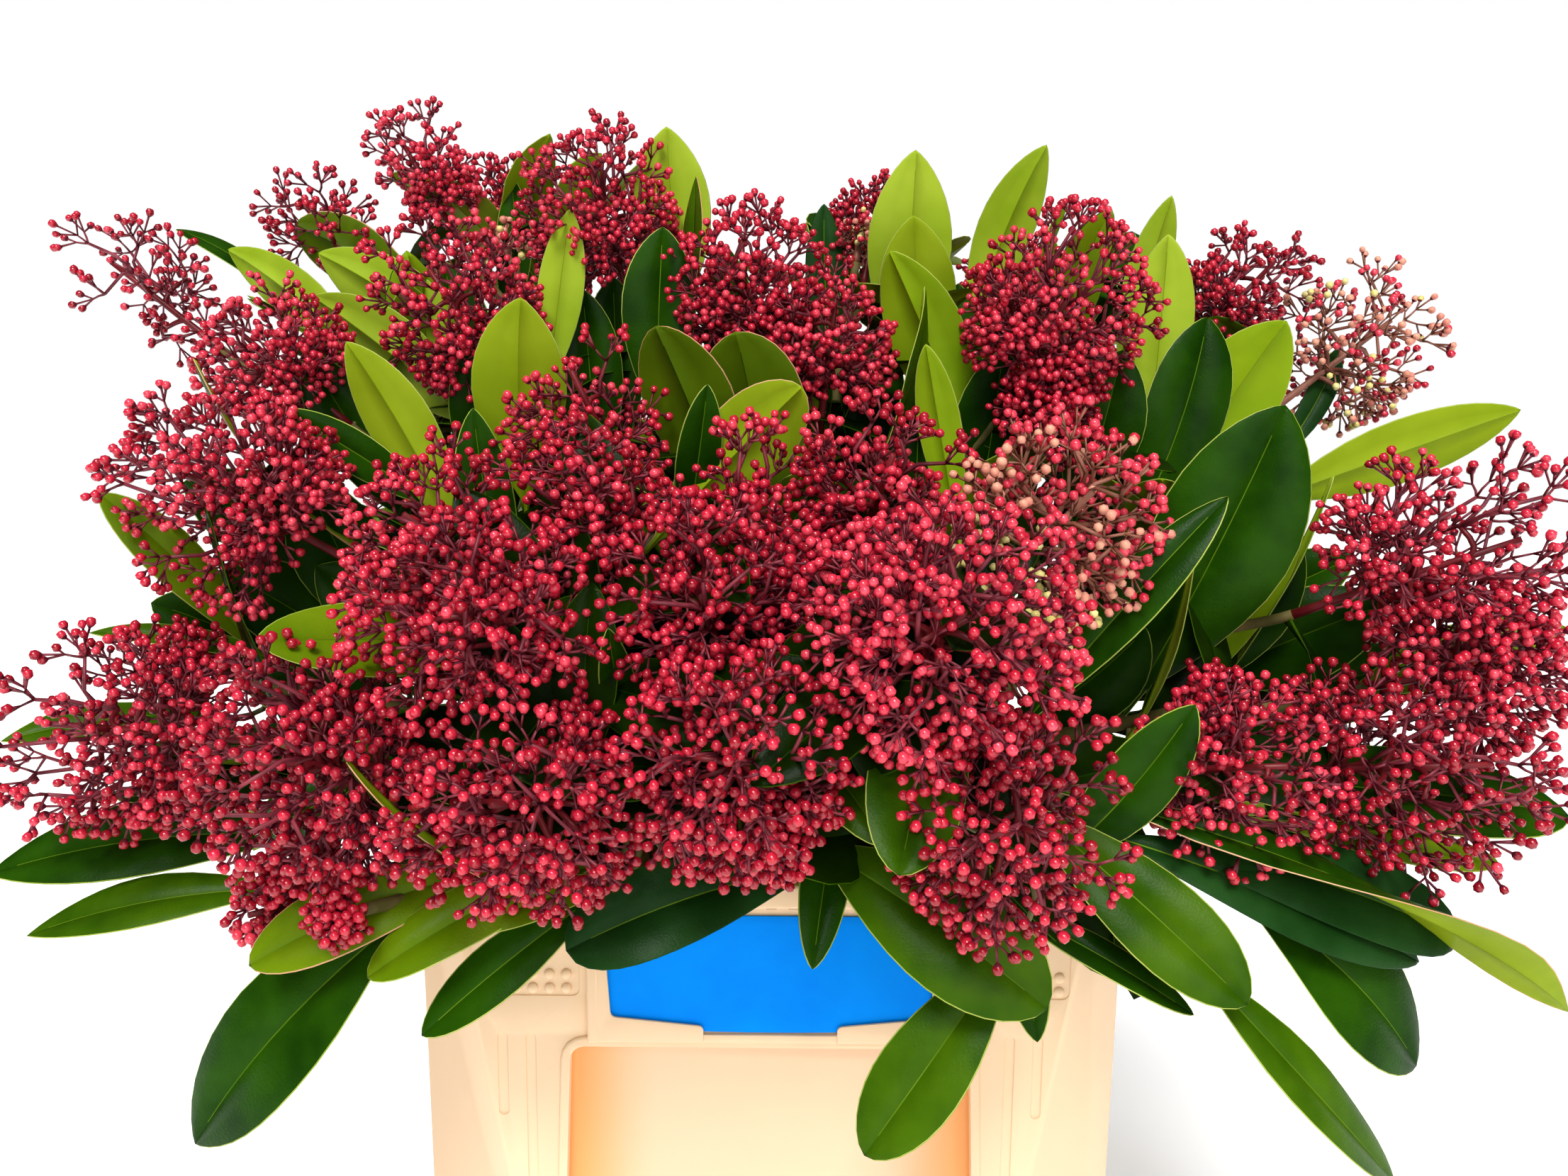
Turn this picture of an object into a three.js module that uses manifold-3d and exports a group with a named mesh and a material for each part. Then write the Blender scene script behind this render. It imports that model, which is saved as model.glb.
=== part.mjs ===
// A bunch of cut skimmia standing in a square plastic flower bucket.
// Millimetres, +Z up, +Y to the back, origin at the middle of the bucket's flat underside.

import * as THREE from 'three';
import { mergeVertices } from 'three/addons/utils/BufferGeometryUtils.js';
import Module from 'manifold-3d';

const wasm = await Module();
wasm.setup();

// ---- driving dimensions ----

const GAP = 0.35; // between two pieces that touch
const SAME_PLACE = 1e-4; // points nearer than this are one

// The bucket: square in plan. Its corners are cut off, more and more towards the foot on the front and
// back walls, and evenly on the side walls
const BUCKET_HEIGHT = 345;
const RIM_HALF = 149;
const FOOT_HALF = 145;
const FRONT_CORNER = { rim: 18, foot: 76 };
const SIDE_CORNER = 26;
const WALL = 3.5;
const FLOOR = 4;
const RIM_TALL = 10;
const RIM_OUT = 4;
const PANEL = { low: 118, high: 274, halfLow: 87, halfHigh: 81.4, deep: 1.5 };
const CUT_PAST = 10; // how far a block that is cut away stands out of the wall

// The card and the two lips on the front wall that hold its lower edge
const CARD = { halfTop: 65.5, halfLow: 62.5, low: 282, high: 331, sag: 4, thick: 0.8 };
const LIP = { inner: 27, outer: 66, low: 276, high: 288, slot: 1.6, thick: 1.4, root: 1 };
const CARD_EDGE_STEPS = 10;

// The cut stems, from the bucket's floor to the leaves above its mouth
const STEMS = 7;
const STEM_FOOT_RING = 46;
const STEM_TOP_RING = 84;
const STEM_FOOT_RADIUS = 5.2;
const STEM_TOP_RADIUS = 3.8;
const STEM_BOW = 2;
const STEM_TWIST = 0.4;
const STEM_TWIST_SPREAD = 0.12;
const STEM_TWIST_WAVE = 2.3;
const STEM_SIDES = 8;
const STEM_STEPS = 5;
const LEAVES_START = 357; // the height at which the stems enter the leaves

// The most of the way to a mass of leaves that a flower head may take up, and the longest way that
// the foot of a head or an outer mass is drawn out to what carries it
const HEAD_SHARE = 0.7;
const STALK_LONG = 120;

// How uneven the skin of a flower head and of a mass of leaves is, and how many times the faces of
// its ball are divided
const HEAD_LUMP = 0.07;
const LEAF_LUMP = 0.09;
const FACETS = 2;
const BACK_HEAD_FACETS = 1;
const SKIRT_CLEAR = 2; // between the bucket's rim and the leaves that hang outside it

// The place in the bucket's mouth that every flower head points away from
const HEART = new THREE.Vector3(0, 0, 340);

// Flower heads: turn and rise are the direction from the heart in degrees, with 270 to the front;
// reach is the distance from the heart to the middle of the head, long and wide are its own size
const HEADS = [
  { name: 'front_star', turn: 284, rise: 27, reach: 256, long: 92, wide: 102 },
  { name: 'front_left', turn: 244, rise: 27, reach: 253, long: 92, wide: 98 },
  { name: 'front_mid', turn: 263, rise: 32, reach: 234, long: 84, wide: 82 },
  { name: 'low_centre', turn: 267, rise: 19, reach: 241, long: 84, wide: 88 },
  { name: 'low_left_centre', turn: 250, rise: 15, reach: 247, long: 86, wide: 86 },
  { name: 'low_left', turn: 233, rise: 15, reach: 266, long: 96, wide: 92 },
  { name: 'far_left', turn: 211, rise: 14, reach: 306, long: 112, wide: 82 },
  { name: 'low_right_centre', turn: 291, rise: 13, reach: 248, long: 90, wide: 86 },
  { name: 'low_right', turn: 314, rise: 14, reach: 257, long: 82, wide: 76 },
  { name: 'great_right', turn: 329, rise: 25, reach: 318, long: 110, wide: 98 },
  { name: 'great_right_low', turn: 324, rise: 12, reach: 296, long: 116, wide: 98 },
  { name: 'mid_a', turn: 232, rise: 37, reach: 250, long: 82, wide: 80 },
  { name: 'mid_b', turn: 246, rise: 41, reach: 232, long: 78, wide: 74 },
  { name: 'mid_c', turn: 266, rise: 44, reach: 230, long: 78, wide: 76 },
  { name: 'mid_d', turn: 287, rise: 48, reach: 230, long: 78, wide: 74 },
  { name: 'cream', turn: 301, rise: 37, reach: 248, long: 94, wide: 82 },
  { name: 'mid_upper', turn: 235, rise: 57, reach: 232, long: 88, wide: 82 },
  { name: 'left_shoulder', turn: 207, rise: 31, reach: 294, long: 102, wide: 98 },
  { name: 'left_upper', turn: 192, rise: 42, reach: 318, long: 78, wide: 74 },
  { name: 'left_dome', turn: 197, rise: 57, reach: 280, long: 106, wide: 74 },
  { name: 'arm_left', turn: 179, rise: 38, reach: 400, long: 88, wide: 62 },
  { name: 'tuft_left', turn: 170, rise: 49, reach: 378, long: 70, wide: 56 },
  { name: 'spire_left', turn: 167, rise: 58, reach: 368, long: 98, wide: 56 },
  { name: 'spire_mid', turn: 174, rise: 73, reach: 304, long: 112, wide: 80 },
  { name: 'pair_mid', turn: 239, rise: 83, reach: 254, long: 88, wide: 78 },
  { name: 'pair_right', turn: 304, rise: 75, reach: 231, long: 80, wide: 66 },
  { name: 'tall_right', turn: 339, rise: 60, reach: 274, long: 112, wide: 86 },
  { name: 'dark_right', turn: 4, rise: 47, reach: 350, long: 90, wide: 60 },
  { name: 'pale_right', turn: 2, rise: 38, reach: 372, long: 96, wide: 76 },
  { name: 'back_left_high', turn: 146, rise: 58, reach: 372, long: 88, wide: 70 },
  { name: 'back_mid_high', turn: 65, rise: 67, reach: 334, long: 88, wide: 76 },
  { name: 'back_right_high', turn: 38, rise: 57, reach: 322, long: 92, wide: 78 },
  { name: 'back_left', turn: 146, rise: 29, reach: 300, long: 106, wide: 98 },
  { name: 'back_mid_left', turn: 108, rise: 35, reach: 270, long: 100, wide: 96 },
  { name: 'back_mid_right', turn: 68, rise: 33, reach: 270, long: 104, wide: 98 },
  { name: 'back_right', turn: 29, rise: 26, reach: 292, long: 106, wide: 96 },
];

// Masses of leaves: at is the middle, size the full length, width and thickness, turn and tilt the
// direction of the length. The inner masses fill the crown, the skirt hangs outside the bucket's rim
// and the crest stands up between the highest heads.
const LEAVES = [
  { name: 'inner_front', at: [0, -105, 440], size: [230, 260, 210], turn: 270, tilt: 0 },
  { name: 'inner_back', at: [0, 110, 440], size: [230, 300, 220], turn: 90, tilt: 0 },
  { name: 'inner_left', at: [-140, -15, 440], size: [270, 300, 230], turn: 180, tilt: 0 },
  { name: 'inner_right', at: [140, -15, 440], size: [270, 300, 230], turn: 0, tilt: 0 },
  { name: 'inner_top', at: [0, 0, 520], size: [170, 300, 190], turn: 90, tilt: 90 },
  { name: 'crest_left', at: [-215, 15, 565], size: [156, 136, 114], turn: 180, tilt: 50 },
  { name: 'crest_mid', at: [64, 5, 602], size: [134, 84, 62], turn: 30, tilt: 84 },
  { name: 'crest_right', at: [176, 27, 598], size: [166, 130, 96], turn: 10, tilt: 68 },
  { name: 'flank_right', at: [190, -95, 500], size: [170, 110, 100], turn: 330, tilt: 60 },
  { name: 'skirt_front_left', at: [-176, -184, 318], size: [150, 100, 56], turn: 228, tilt: -42 },
  { name: 'skirt_front', at: [58, -204, 330], size: [124, 80, 34], turn: 262, tilt: -66 },
  { name: 'skirt_front_right', at: [172, -186, 318], size: [150, 116, 56], turn: 312, tilt: -42 },
  { name: 'skirt_left', at: [-250, -90, 358], size: [160, 210, 46], turn: 197, tilt: -10 },
  { name: 'skirt_right', at: [240, -84, 346], size: [156, 200, 56], turn: 342, tilt: -18 },
  { name: 'skirt_back', at: [0, 214, 350], size: [130, 420, 70], turn: 90, tilt: -30 },
];

const PLASTIC = { color: 0xf6e3bd, roughness: 0.45, metalness: 0 };
const CARD_BLUE = { color: 0x0a8df2, roughness: 0.5, metalness: 0 };
const BARK = { color: 0x6d6a35, roughness: 0.8, metalness: 0 };
const BLOSSOM = { color: 0xb0263f, roughness: 0.55, metalness: 0 };
const CREAM_BLOSSOM = { color: 0xd68a86, roughness: 0.55, metalness: 0 };
const LEAF = { color: 0x3a6a1c, roughness: 0.4, metalness: 0 };

const skimmia = new THREE.Group();

function add(name, geometry, look) {
  const mesh = new THREE.Mesh(geometry, new THREE.MeshStandardMaterial(look));
  mesh.name = name;
  skimmia.add(mesh);
}

// ---- shapes ----

// A closed skin over a row of rings with equally many points, each running anticlockwise from above
function loft(rings) {
  const count = rings[0].length;
  const points = rings.flat();
  const index = [];
  for (let ring = 0; ring + 1 < rings.length; ring += 1) {
    for (let i = 0; i < count; i += 1) {
      const a = ring * count + i;
      const b = ring * count + ((i + 1) % count);
      index.push(a, b, a + count, b, b + count, a + count);
    }
  }
  const last = (rings.length - 1) * count;
  for (let i = 1; i + 1 < count; i += 1) {
    index.push(0, i + 1, i, last, last + i, last + i + 1);
  }
  const geometry = new THREE.BufferGeometry().setFromPoints(points);
  geometry.setIndex(index);
  return geometry;
}

// A square ring with its four corners cut off, each by two lengths: along the front and along the side
function cutSquare(half, front, side, height) {
  const outline = [[half, side - half], [half, half - side], [half - front, half], [front - half, half]];
  const opposite = outline.map(([x, y]) => [-x, -y]);
  return [...outline, ...opposite].map(([x, y]) => new THREE.Vector3(x, y, height));
}

function solidOf(geometry) {
  const bare = geometry.clone();
  bare.deleteAttribute('normal');
  bare.deleteAttribute('uv');
  const merged = mergeVertices(bare, SAME_PLACE);
  return new wasm.Manifold(new wasm.Mesh({
    numProp: 3,
    vertProperties: new Float32Array(merged.attributes.position.array),
    triVerts: new Uint32Array(merged.index.array),
  }));
}

function geometryOf(solid) {
  const mesh = solid.getMesh();
  const geometry = new THREE.BufferGeometry();
  geometry.setAttribute('position', new THREE.BufferAttribute(mesh.vertProperties, 3));
  geometry.setIndex(new THREE.BufferAttribute(mesh.triVerts, 1));
  return geometry;
}

// ---- bucket ----

function wallHalf(height) {
  return THREE.MathUtils.lerp(FOOT_HALF, RIM_HALF, height / BUCKET_HEIGHT);
}

function frontCorner(height) {
  return THREE.MathUtils.lerp(FRONT_CORNER.foot, FRONT_CORNER.rim, height / BUCKET_HEIGHT);
}

// The wall's outline at a height, moved outwards evenly
function wallRing(height, out) {
  const front = frontCorner(height);
  const turn = Math.atan2(SIDE_CORNER, front);
  const frontCut = front + out * (1 - Math.tan(turn / 2));
  const sideCut = SIDE_CORNER + out * (1 - Math.tan((Math.PI / 2 - turn) / 2));
  return cutSquare(wallHalf(height) + out, frontCut, sideCut, height);
}

// A bar along X with the given outline, whose points are [distance out of the front, height]
function barAcross(outline, from, to) {
  const shape = new THREE.Shape(outline.map(([out, height]) => new THREE.Vector2(out, height)));
  const bar = new THREE.ExtrudeGeometry(shape, { depth: to - from, bevelEnabled: false });
  bar.rotateX(Math.PI / 2);
  bar.rotateZ(-Math.PI / 2);
  bar.translate(from, 0, 0);
  return bar;
}

// The sunk panel of the front or back wall, as the block that is cut away
function panelBlock() {
  const face = wallHalf(PANEL.high);
  const low = wallHalf(PANEL.low) - PANEL.deep;
  const high = face - PANEL.deep;
  const outside = face + CUT_PAST;
  const corners = (inner, half, height) => [
    new THREE.Vector3(half, -outside, height),
    new THREE.Vector3(half, -inner, height),
    new THREE.Vector3(-half, -inner, height),
    new THREE.Vector3(-half, -outside, height),
  ];
  return loft([corners(low, PANEL.halfLow, PANEL.low), corners(high, PANEL.halfHigh, PANEL.high)]);
}

function bucketShell() {
  const flangeFoot = BUCKET_HEIGHT - RIM_TALL;
  return solidOf(loft([
    wallRing(0, 0),
    wallRing(flangeFoot, 0),
    wallRing(flangeFoot, RIM_OUT),
    wallRing(BUCKET_HEIGHT, RIM_OUT),
    wallRing(BUCKET_HEIGHT, -WALL),
    wallRing(FLOOR, -WALL),
  ]));
}

// One lip: a foot that grows out of the wall and a thin tongue in front of the card
function lipBar(side) {
  const face = wallHalf((LIP.low + LIP.high) / 2);
  const front = face + LIP.slot + LIP.thick;
  const outline = [
    [face - LIP.root, LIP.low],
    [front, LIP.low],
    [front, LIP.high],
    [front - LIP.thick, LIP.high],
    [front - LIP.thick, CARD.low - CARD.sag - GAP],
    [face - LIP.root, CARD.low - CARD.sag - GAP],
  ];
  const from = side < 0 ? -LIP.outer : LIP.inner;
  const to = side < 0 ? -LIP.inner : LIP.outer;
  return solidOf(barAcross(outline, from, to));
}

function buildBucket() {
  const back = panelBlock().rotateZ(Math.PI);
  const body = bucketShell()
    .subtract(solidOf(panelBlock()))
    .subtract(solidOf(back))
    .add(lipBar(-1))
    .add(lipBar(1));
  add('bucket', geometryOf(body), PLASTIC);
}

// The card leans with the wall, and its lower edge bows down in the middle
function buildCard() {
  const outline = new THREE.Shape();
  outline.moveTo(-CARD.halfLow, CARD.low);
  outline.quadraticCurveTo(0, CARD.low - 2 * CARD.sag, CARD.halfLow, CARD.low);
  outline.lineTo(CARD.halfTop, CARD.high);
  outline.lineTo(-CARD.halfTop, CARD.high);
  const options = { depth: CARD.thick, bevelEnabled: false, curveSegments: CARD_EDGE_STEPS };
  const card = new THREE.ExtrudeGeometry(outline, options);
  card.rotateX(Math.PI / 2);
  card.translate(0, 0, -CARD.low);
  card.rotateX(Math.atan2(RIM_HALF - FOOT_HALF, BUCKET_HEIGHT));
  card.translate(0, -wallHalf(CARD.low) - GAP, CARD.low);
  add('card', card, CARD_BLUE);
}

// ---- stems ----

// A point on a level ring around the bucket's axis
function ringPoint(radius, angle, height) {
  return new THREE.Vector3(radius * Math.cos(angle), radius * Math.sin(angle), height);
}

// The stems lean out and all cross a little the same way, as in a bunch twisted in the hand
function buildStem(number) {
  const turn = ((number + 0.5) / STEMS) * 2 * Math.PI;
  const twist = STEM_TWIST + STEM_TWIST_SPREAD * Math.sin(number * STEM_TWIST_WAVE);
  const foot = ringPoint(STEM_FOOT_RING, turn + twist, FLOOR + GAP);
  const top = ringPoint(STEM_TOP_RING, turn, LEAVES_START - GAP);
  const sideways = ringPoint(1, turn + Math.PI / 2, 0);
  const rings = [];
  for (let step = 0; step <= STEM_STEPS; step += 1) {
    const along = step / STEM_STEPS;
    const bow = STEM_BOW * Math.sin(Math.PI * along);
    const thick = THREE.MathUtils.lerp(STEM_FOOT_RADIUS, STEM_TOP_RADIUS, along);
    const middle = foot.clone().lerp(top, along).addScaledVector(sideways, bow);
    const ring = [];
    for (let side = 0; side < STEM_SIDES; side += 1) {
      ring.push(ringPoint(thick, (side / STEM_SIDES) * 2 * Math.PI, 0).add(middle));
    }
    rings.push(ring);
  }
  add(`stem_${number + 1}`, loft(rings), BARK);
}

// ---- flower heads and masses of leaves ----

function direction(turn, rise) {
  const level = Math.cos(THREE.MathUtils.degToRad(rise));
  return new THREE.Vector3(
    level * Math.cos(THREE.MathUtils.degToRad(turn)),
    level * Math.sin(THREE.MathUtils.degToRad(turn)),
    Math.sin(THREE.MathUtils.degToRad(rise)),
  );
}

// The frame of a mass: its length along X, its width level along Y and its thickness along Z
function frameAlong(axis) {
  const helper = Math.abs(axis.z) > 0.999 ? new THREE.Vector3(0, 1, 0) : new THREE.Vector3(0, 0, 1);
  const across = new THREE.Vector3().crossVectors(helper, axis).normalize();
  const through = new THREE.Vector3().crossVectors(axis, across);
  return new THREE.Matrix4().makeBasis(axis, across, through);
}

function headMass(head, number) {
  const axis = direction(head.turn, head.rise);
  return {
    name: `head_${head.name}`,
    seed: number,
    head: true,
    middle: axis.clone().multiplyScalar(head.reach).add(HEART),
    frame: frameAlong(axis),
    half: [head.long / 2, head.wide / 2, head.wide / 2],
    lump: HEAD_LUMP,
    facets: head.name.startsWith('back') ? BACK_HEAD_FACETS : FACETS,
    stalk: STALK_LONG,
    limits: [],
    look: head.name === 'cream' || head.name === 'pale_right' ? CREAM_BLOSSOM : BLOSSOM,
  };
}

// The inner masses lie above the stems' ends, and the skirt outside the bucket's walls
function leafMass(leaf, number) {
  const limits = [];
  if (leaf.name.startsWith('inner')) {
    limits.push({ normal: new THREE.Vector3(0, 0, -1), at: -LEAVES_START });
  }
  if (leaf.name.startsWith('skirt')) {
    const [x, y] = leaf.at;
    const outward = Math.abs(x) > Math.abs(y)
      ? new THREE.Vector3(Math.sign(x), 0, 0)
      : new THREE.Vector3(0, Math.sign(y), 0);
    limits.push({ normal: outward.negate(), at: -(RIM_HALF + RIM_OUT + SKIRT_CLEAR) });
  }
  return {
    name: `leaves_${leaf.name}`,
    seed: number + HEADS.length,
    head: false,
    middle: new THREE.Vector3(...leaf.at),
    frame: frameAlong(direction(leaf.turn, leaf.tilt)),
    half: leaf.size.map((side) => side / 2),
    lump: LEAF_LUMP,
    facets: FACETS,
    stalk: leaf.name.startsWith('inner') ? 0 : STALK_LONG,
    limits,
    look: LEAF,
  };
}

// How far a mass reaches from its middle along a unit direction, before its neighbours press on it
function reachOf(mass, along) {
  const inner = along.clone().transformDirection(mass.frame.clone().transpose());
  const share = Math.hypot(inner.x / mass.half[0], inner.y / mass.half[1], inner.z / mass.half[2]);
  const wave = Math.sin(3.3 * inner.x + 1.7 * mass.seed)
    + Math.sin(3.9 * inner.y + 2.9 * mass.seed)
    + Math.sin(4.3 * inner.z + 0.8 * mass.seed);
  return (1 + (mass.lump * wave) / 3) / share;
}

// The flat meeting face of two masses. Where both want the same room they share it by their size, but
// a head keeps its full size against leaves; where there is room to spare, the face halves it.
function meetingFace(mass, other) {
  const between = other.middle.clone().sub(mass.middle);
  const apart = between.length();
  if (apart > Math.max(...mass.half, mass.stalk) + Math.max(...other.half, other.stalk)) {
    return null;
  }
  const normal = between.clone().divideScalar(apart);
  const own = reachOf(mass, normal);
  const others = reachOf(other, normal.clone().negate());
  let depth = own + (apart - own - others) / 2;
  if (own + others > apart) {
    depth = (apart * own) / (own + others);
    if (mass.head && !other.head) {
      depth = Math.min(own, HEAD_SHARE * apart);
    }
    if (other.head && !mass.head) {
      depth = apart - Math.min(others, HEAD_SHARE * apart);
    }
  }
  return { normal, at: normal.dot(mass.middle) + depth - GAP / 2, other };
}

// A ball of triangles with one corner at -X, which becomes the foot
function ballWithFoot(facets) {
  const ball = new THREE.IcosahedronGeometry(1, facets);
  ball.deleteAttribute('normal');
  ball.deleteAttribute('uv');
  const corner = new THREE.Vector3().fromBufferAttribute(ball.attributes.position, 0).normalize();
  const turn = new THREE.Quaternion().setFromUnitVectors(corner, new THREE.Vector3(-1, 0, 0));
  return mergeVertices(ball.applyQuaternion(turn), SAME_PLACE);
}

// The way out of a mass along a unit direction, up to the nearest of its faces
function wayOut(mass, along) {
  let nearest = { reach: Infinity, face: null };
  for (const face of mass.faces) {
    const facing = face.normal.dot(along);
    const reach = (face.at - face.normal.dot(mass.middle)) / facing;
    if (facing > 1e-6 && reach < nearest.reach) {
      nearest = { reach, face };
    }
  }
  return nearest;
}

// The uneven skin of a mass, pressed flat where it meets its neighbours
function shapeMass(mass) {
  mass.geometry = ballWithFoot(mass.facets);
  const positions = mass.geometry.attributes.position;
  for (let i = 0; i < positions.count; i += 1) {
    const along = new THREE.Vector3().fromBufferAttribute(positions, i).transformDirection(mass.frame);
    const reach = Math.min(reachOf(mass, along), wayOut(mass, along).reach);
    along.multiplyScalar(reach).add(mass.middle);
    positions.setXYZ(i, along.x, along.y, along.z);
  }
}

// Draws out the corner of a mass that lies nearest to the way towards a place, to that place
function drawOut(mass, place) {
  const positions = mass.geometry.attributes.position;
  const way = place.clone().sub(mass.middle).normalize();
  const corner = new THREE.Vector3();
  let best = 0;
  let bestFacing = -1;
  for (let i = 0; i < positions.count; i += 1) {
    const facing = corner.fromBufferAttribute(positions, i).sub(mass.middle).normalize().dot(way);
    if (facing > bestFacing) {
      best = i;
      bestFacing = facing;
    }
  }
  positions.setXYZ(best, place.x, place.y, place.z);
}

// Where a mass can stand on the neighbour that lies a given way: its own foot and the seat for it
function footing(mass, way) {
  const { reach, face } = wayOut(mass, way);
  if (!face || !face.other || reach > STALK_LONG) {
    return null;
  }
  const foot = way.clone().multiplyScalar(reach).add(mass.middle);
  const seat = foot.clone().addScaledVector(face.normal, GAP);
  const inside = face.other.faces.every((limit) => limit.normal.dot(seat) < limit.at + 1e-6);
  return inside ? { foot, seat, carrier: face.other } : null;
}

// The foot of a mass runs back along its length, or else to its nearest neighbour, and the neighbour
// rises a little to meet it
function seatMass(mass) {
  const straightBack = new THREE.Vector3(-1, 0, 0).transformDirection(mass.frame);
  const neighbours = mass.faces.filter((face) => face.other).map((face) => face.other.middle);
  neighbours.sort((a, b) => a.distanceTo(mass.middle) - b.distanceTo(mass.middle));
  const ways = neighbours.map((middle) => middle.clone().sub(mass.middle).normalize());
  for (const way of [straightBack, ...ways]) {
    const found = footing(mass, way);
    if (found) {
      drawOut(mass, found.foot);
      drawOut(found.carrier, found.seat);
      return;
    }
  }
}

buildBucket();
buildCard();
for (let number = 0; number < STEMS; number += 1) {
  buildStem(number);
}
const masses = [...HEADS.map(headMass), ...LEAVES.map(leafMass)];
for (const mass of masses) {
  const others = masses.filter((other) => other !== mass);
  const met = others.map((other) => meetingFace(mass, other)).filter((face) => face !== null);
  mass.faces = [...mass.limits, ...met];
}
masses.forEach(shapeMass);
masses.filter((mass) => mass.stalk > 0).forEach(seatMass);
for (const mass of masses) {
  add(mass.name, mass.geometry, mass.look);
}

export default skimmia;
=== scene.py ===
"""A bunch of cut skimmia in a square flower bucket: stalks, buds, leaves, stems, bucket and card."""

import math

import bmesh
import bpy
import numpy as np
from mathutils import Matrix, Vector, kdtree
from mathutils.bvhtree import BVHTree


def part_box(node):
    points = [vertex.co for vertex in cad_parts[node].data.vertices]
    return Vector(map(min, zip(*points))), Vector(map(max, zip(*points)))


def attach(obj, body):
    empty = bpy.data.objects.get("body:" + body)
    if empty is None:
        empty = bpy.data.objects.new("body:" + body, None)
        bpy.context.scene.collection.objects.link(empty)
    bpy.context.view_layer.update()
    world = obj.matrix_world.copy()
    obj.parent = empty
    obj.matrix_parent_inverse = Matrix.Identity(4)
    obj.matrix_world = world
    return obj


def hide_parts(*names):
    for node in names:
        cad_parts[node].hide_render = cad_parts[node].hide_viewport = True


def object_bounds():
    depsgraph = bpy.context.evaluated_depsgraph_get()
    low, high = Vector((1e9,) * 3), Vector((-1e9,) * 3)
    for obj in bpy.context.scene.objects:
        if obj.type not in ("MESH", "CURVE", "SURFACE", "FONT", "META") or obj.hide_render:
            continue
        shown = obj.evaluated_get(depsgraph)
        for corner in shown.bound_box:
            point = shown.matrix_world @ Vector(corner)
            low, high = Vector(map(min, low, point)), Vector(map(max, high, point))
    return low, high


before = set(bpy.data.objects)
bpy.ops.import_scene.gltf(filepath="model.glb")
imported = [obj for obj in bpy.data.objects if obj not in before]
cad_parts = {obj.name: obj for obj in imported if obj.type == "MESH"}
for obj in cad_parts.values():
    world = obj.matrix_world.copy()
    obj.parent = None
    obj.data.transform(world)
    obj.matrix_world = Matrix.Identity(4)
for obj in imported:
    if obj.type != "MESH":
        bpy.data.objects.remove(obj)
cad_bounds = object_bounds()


# ---- the camera ----
# A wide lens, held a little above the middle of the bunch and close to it, and tipped down. It leans
# half a degree to one side, as a camera held in the hand does.

MM = 0.001
CAMERA_PLACE = (4 * MM, -600 * MM, 521 * MM)
CAMERA_TIP_DOWN = math.radians(7.3)
CAMERA_LEAN = math.radians(0.5)
LENS_MM = 27.03
SENSOR_WIDTH_MM = 36
NEAREST_SEEN = 10 * MM


def in_scene(name, data):
    """A new object in the scene that shows this data."""
    thing = bpy.data.objects.new(name, data)
    bpy.context.scene.collection.objects.link(thing)
    return thing


camera = in_scene("camera", bpy.data.cameras.new("camera"))
camera.data.lens = LENS_MM
camera.data.sensor_width = SENSOR_WIDTH_MM
camera.data.clip_start = NEAREST_SEEN
camera.matrix_world = (
    Matrix.Translation(CAMERA_PLACE)
    @ Matrix.Rotation(math.pi / 2 - CAMERA_TIP_DOWN, 4, "X")
    @ Matrix.Rotation(CAMERA_LEAN, 4, "Z")
)
bpy.context.scene.camera = camera


# ---- the bucket ----
# A square flower bucket, moulded in one piece of ivory polypropylene. Its corners are cut off, more and
# more towards the foot on the front and back. These walls have a sunk panel with a ridge round it, grooves
# and a field of small dots, and under the rim a pocket with two lips holds a card.

BUCKET_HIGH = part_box("bucket")[1]
HEIGHT = BUCKET_HIGH.z
RIM_OUT = 4 * MM
RIM_TALL = 10 * MM
RIM_HALF = BUCKET_HIGH.x - RIM_OUT
FOOT_HALF = 145 * MM
RIM_CORNER = 18 * MM
FOOT_CORNER = 76 * MM
SIDE_CORNER = 26 * MM
WALL = 3.5 * MM
WALL_LEAN = (RIM_HALF - FOOT_HALF) / HEIGHT
SOFT_EDGE = 0.3 * MM
SOFT_WALL = 1.6 * MM
CORNER_CUTS = 4
FACING = 0.9


def only(piece):
    """Selects one object and makes it the active one."""
    bpy.ops.object.select_all(action="DESELECT")
    piece.select_set(True)
    bpy.context.view_layer.objects.active = piece


def pick(piece, kind, wanted):
    """In edit mode, selects just the vertices, edges or faces that pass a test."""
    bpy.ops.mesh.select_mode(type=kind)
    bpy.ops.mesh.select_all(action="DESELECT")
    shape = bmesh.from_edit_mesh(piece.data)
    for part in {"VERT": shape.verts, "EDGE": shape.edges, "FACE": shape.faces}[kind]:
        if wanted(part):
            part.select_set(True)
    bmesh.update_edit_mesh(piece.data)


def new_block(name, low, high):
    """A block between two corners, selected and active, with its place in its mesh."""
    bpy.ops.object.select_all(action="DESELECT")
    low, high = Vector(low), Vector(high)
    bpy.ops.mesh.primitive_cube_add(size=1, location=(low + high) / 2, scale=high - low)
    block = bpy.context.object
    block.name = name
    bpy.ops.object.transform_apply(location=True, rotation=True, scale=True)
    return block


def finish_modifier(piece, kind, **settings):
    """Adds a modifier with these settings and applies it."""
    only(piece)
    modifier = piece.modifiers.new(kind.lower(), kind)
    for name, value in settings.items():
        setattr(modifier, name, value)
    bpy.ops.object.modifier_apply(modifier=modifier.name)


def softened(piece, width, segments=2, sharp=50):
    """A piece with its edges rounded where they bend by more than so many degrees."""
    finish_modifier(
        piece, "BEVEL", width=width, segments=segments, limit_method="ANGLE", angle_limit=math.radians(sharp)
    )
    return piece


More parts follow.
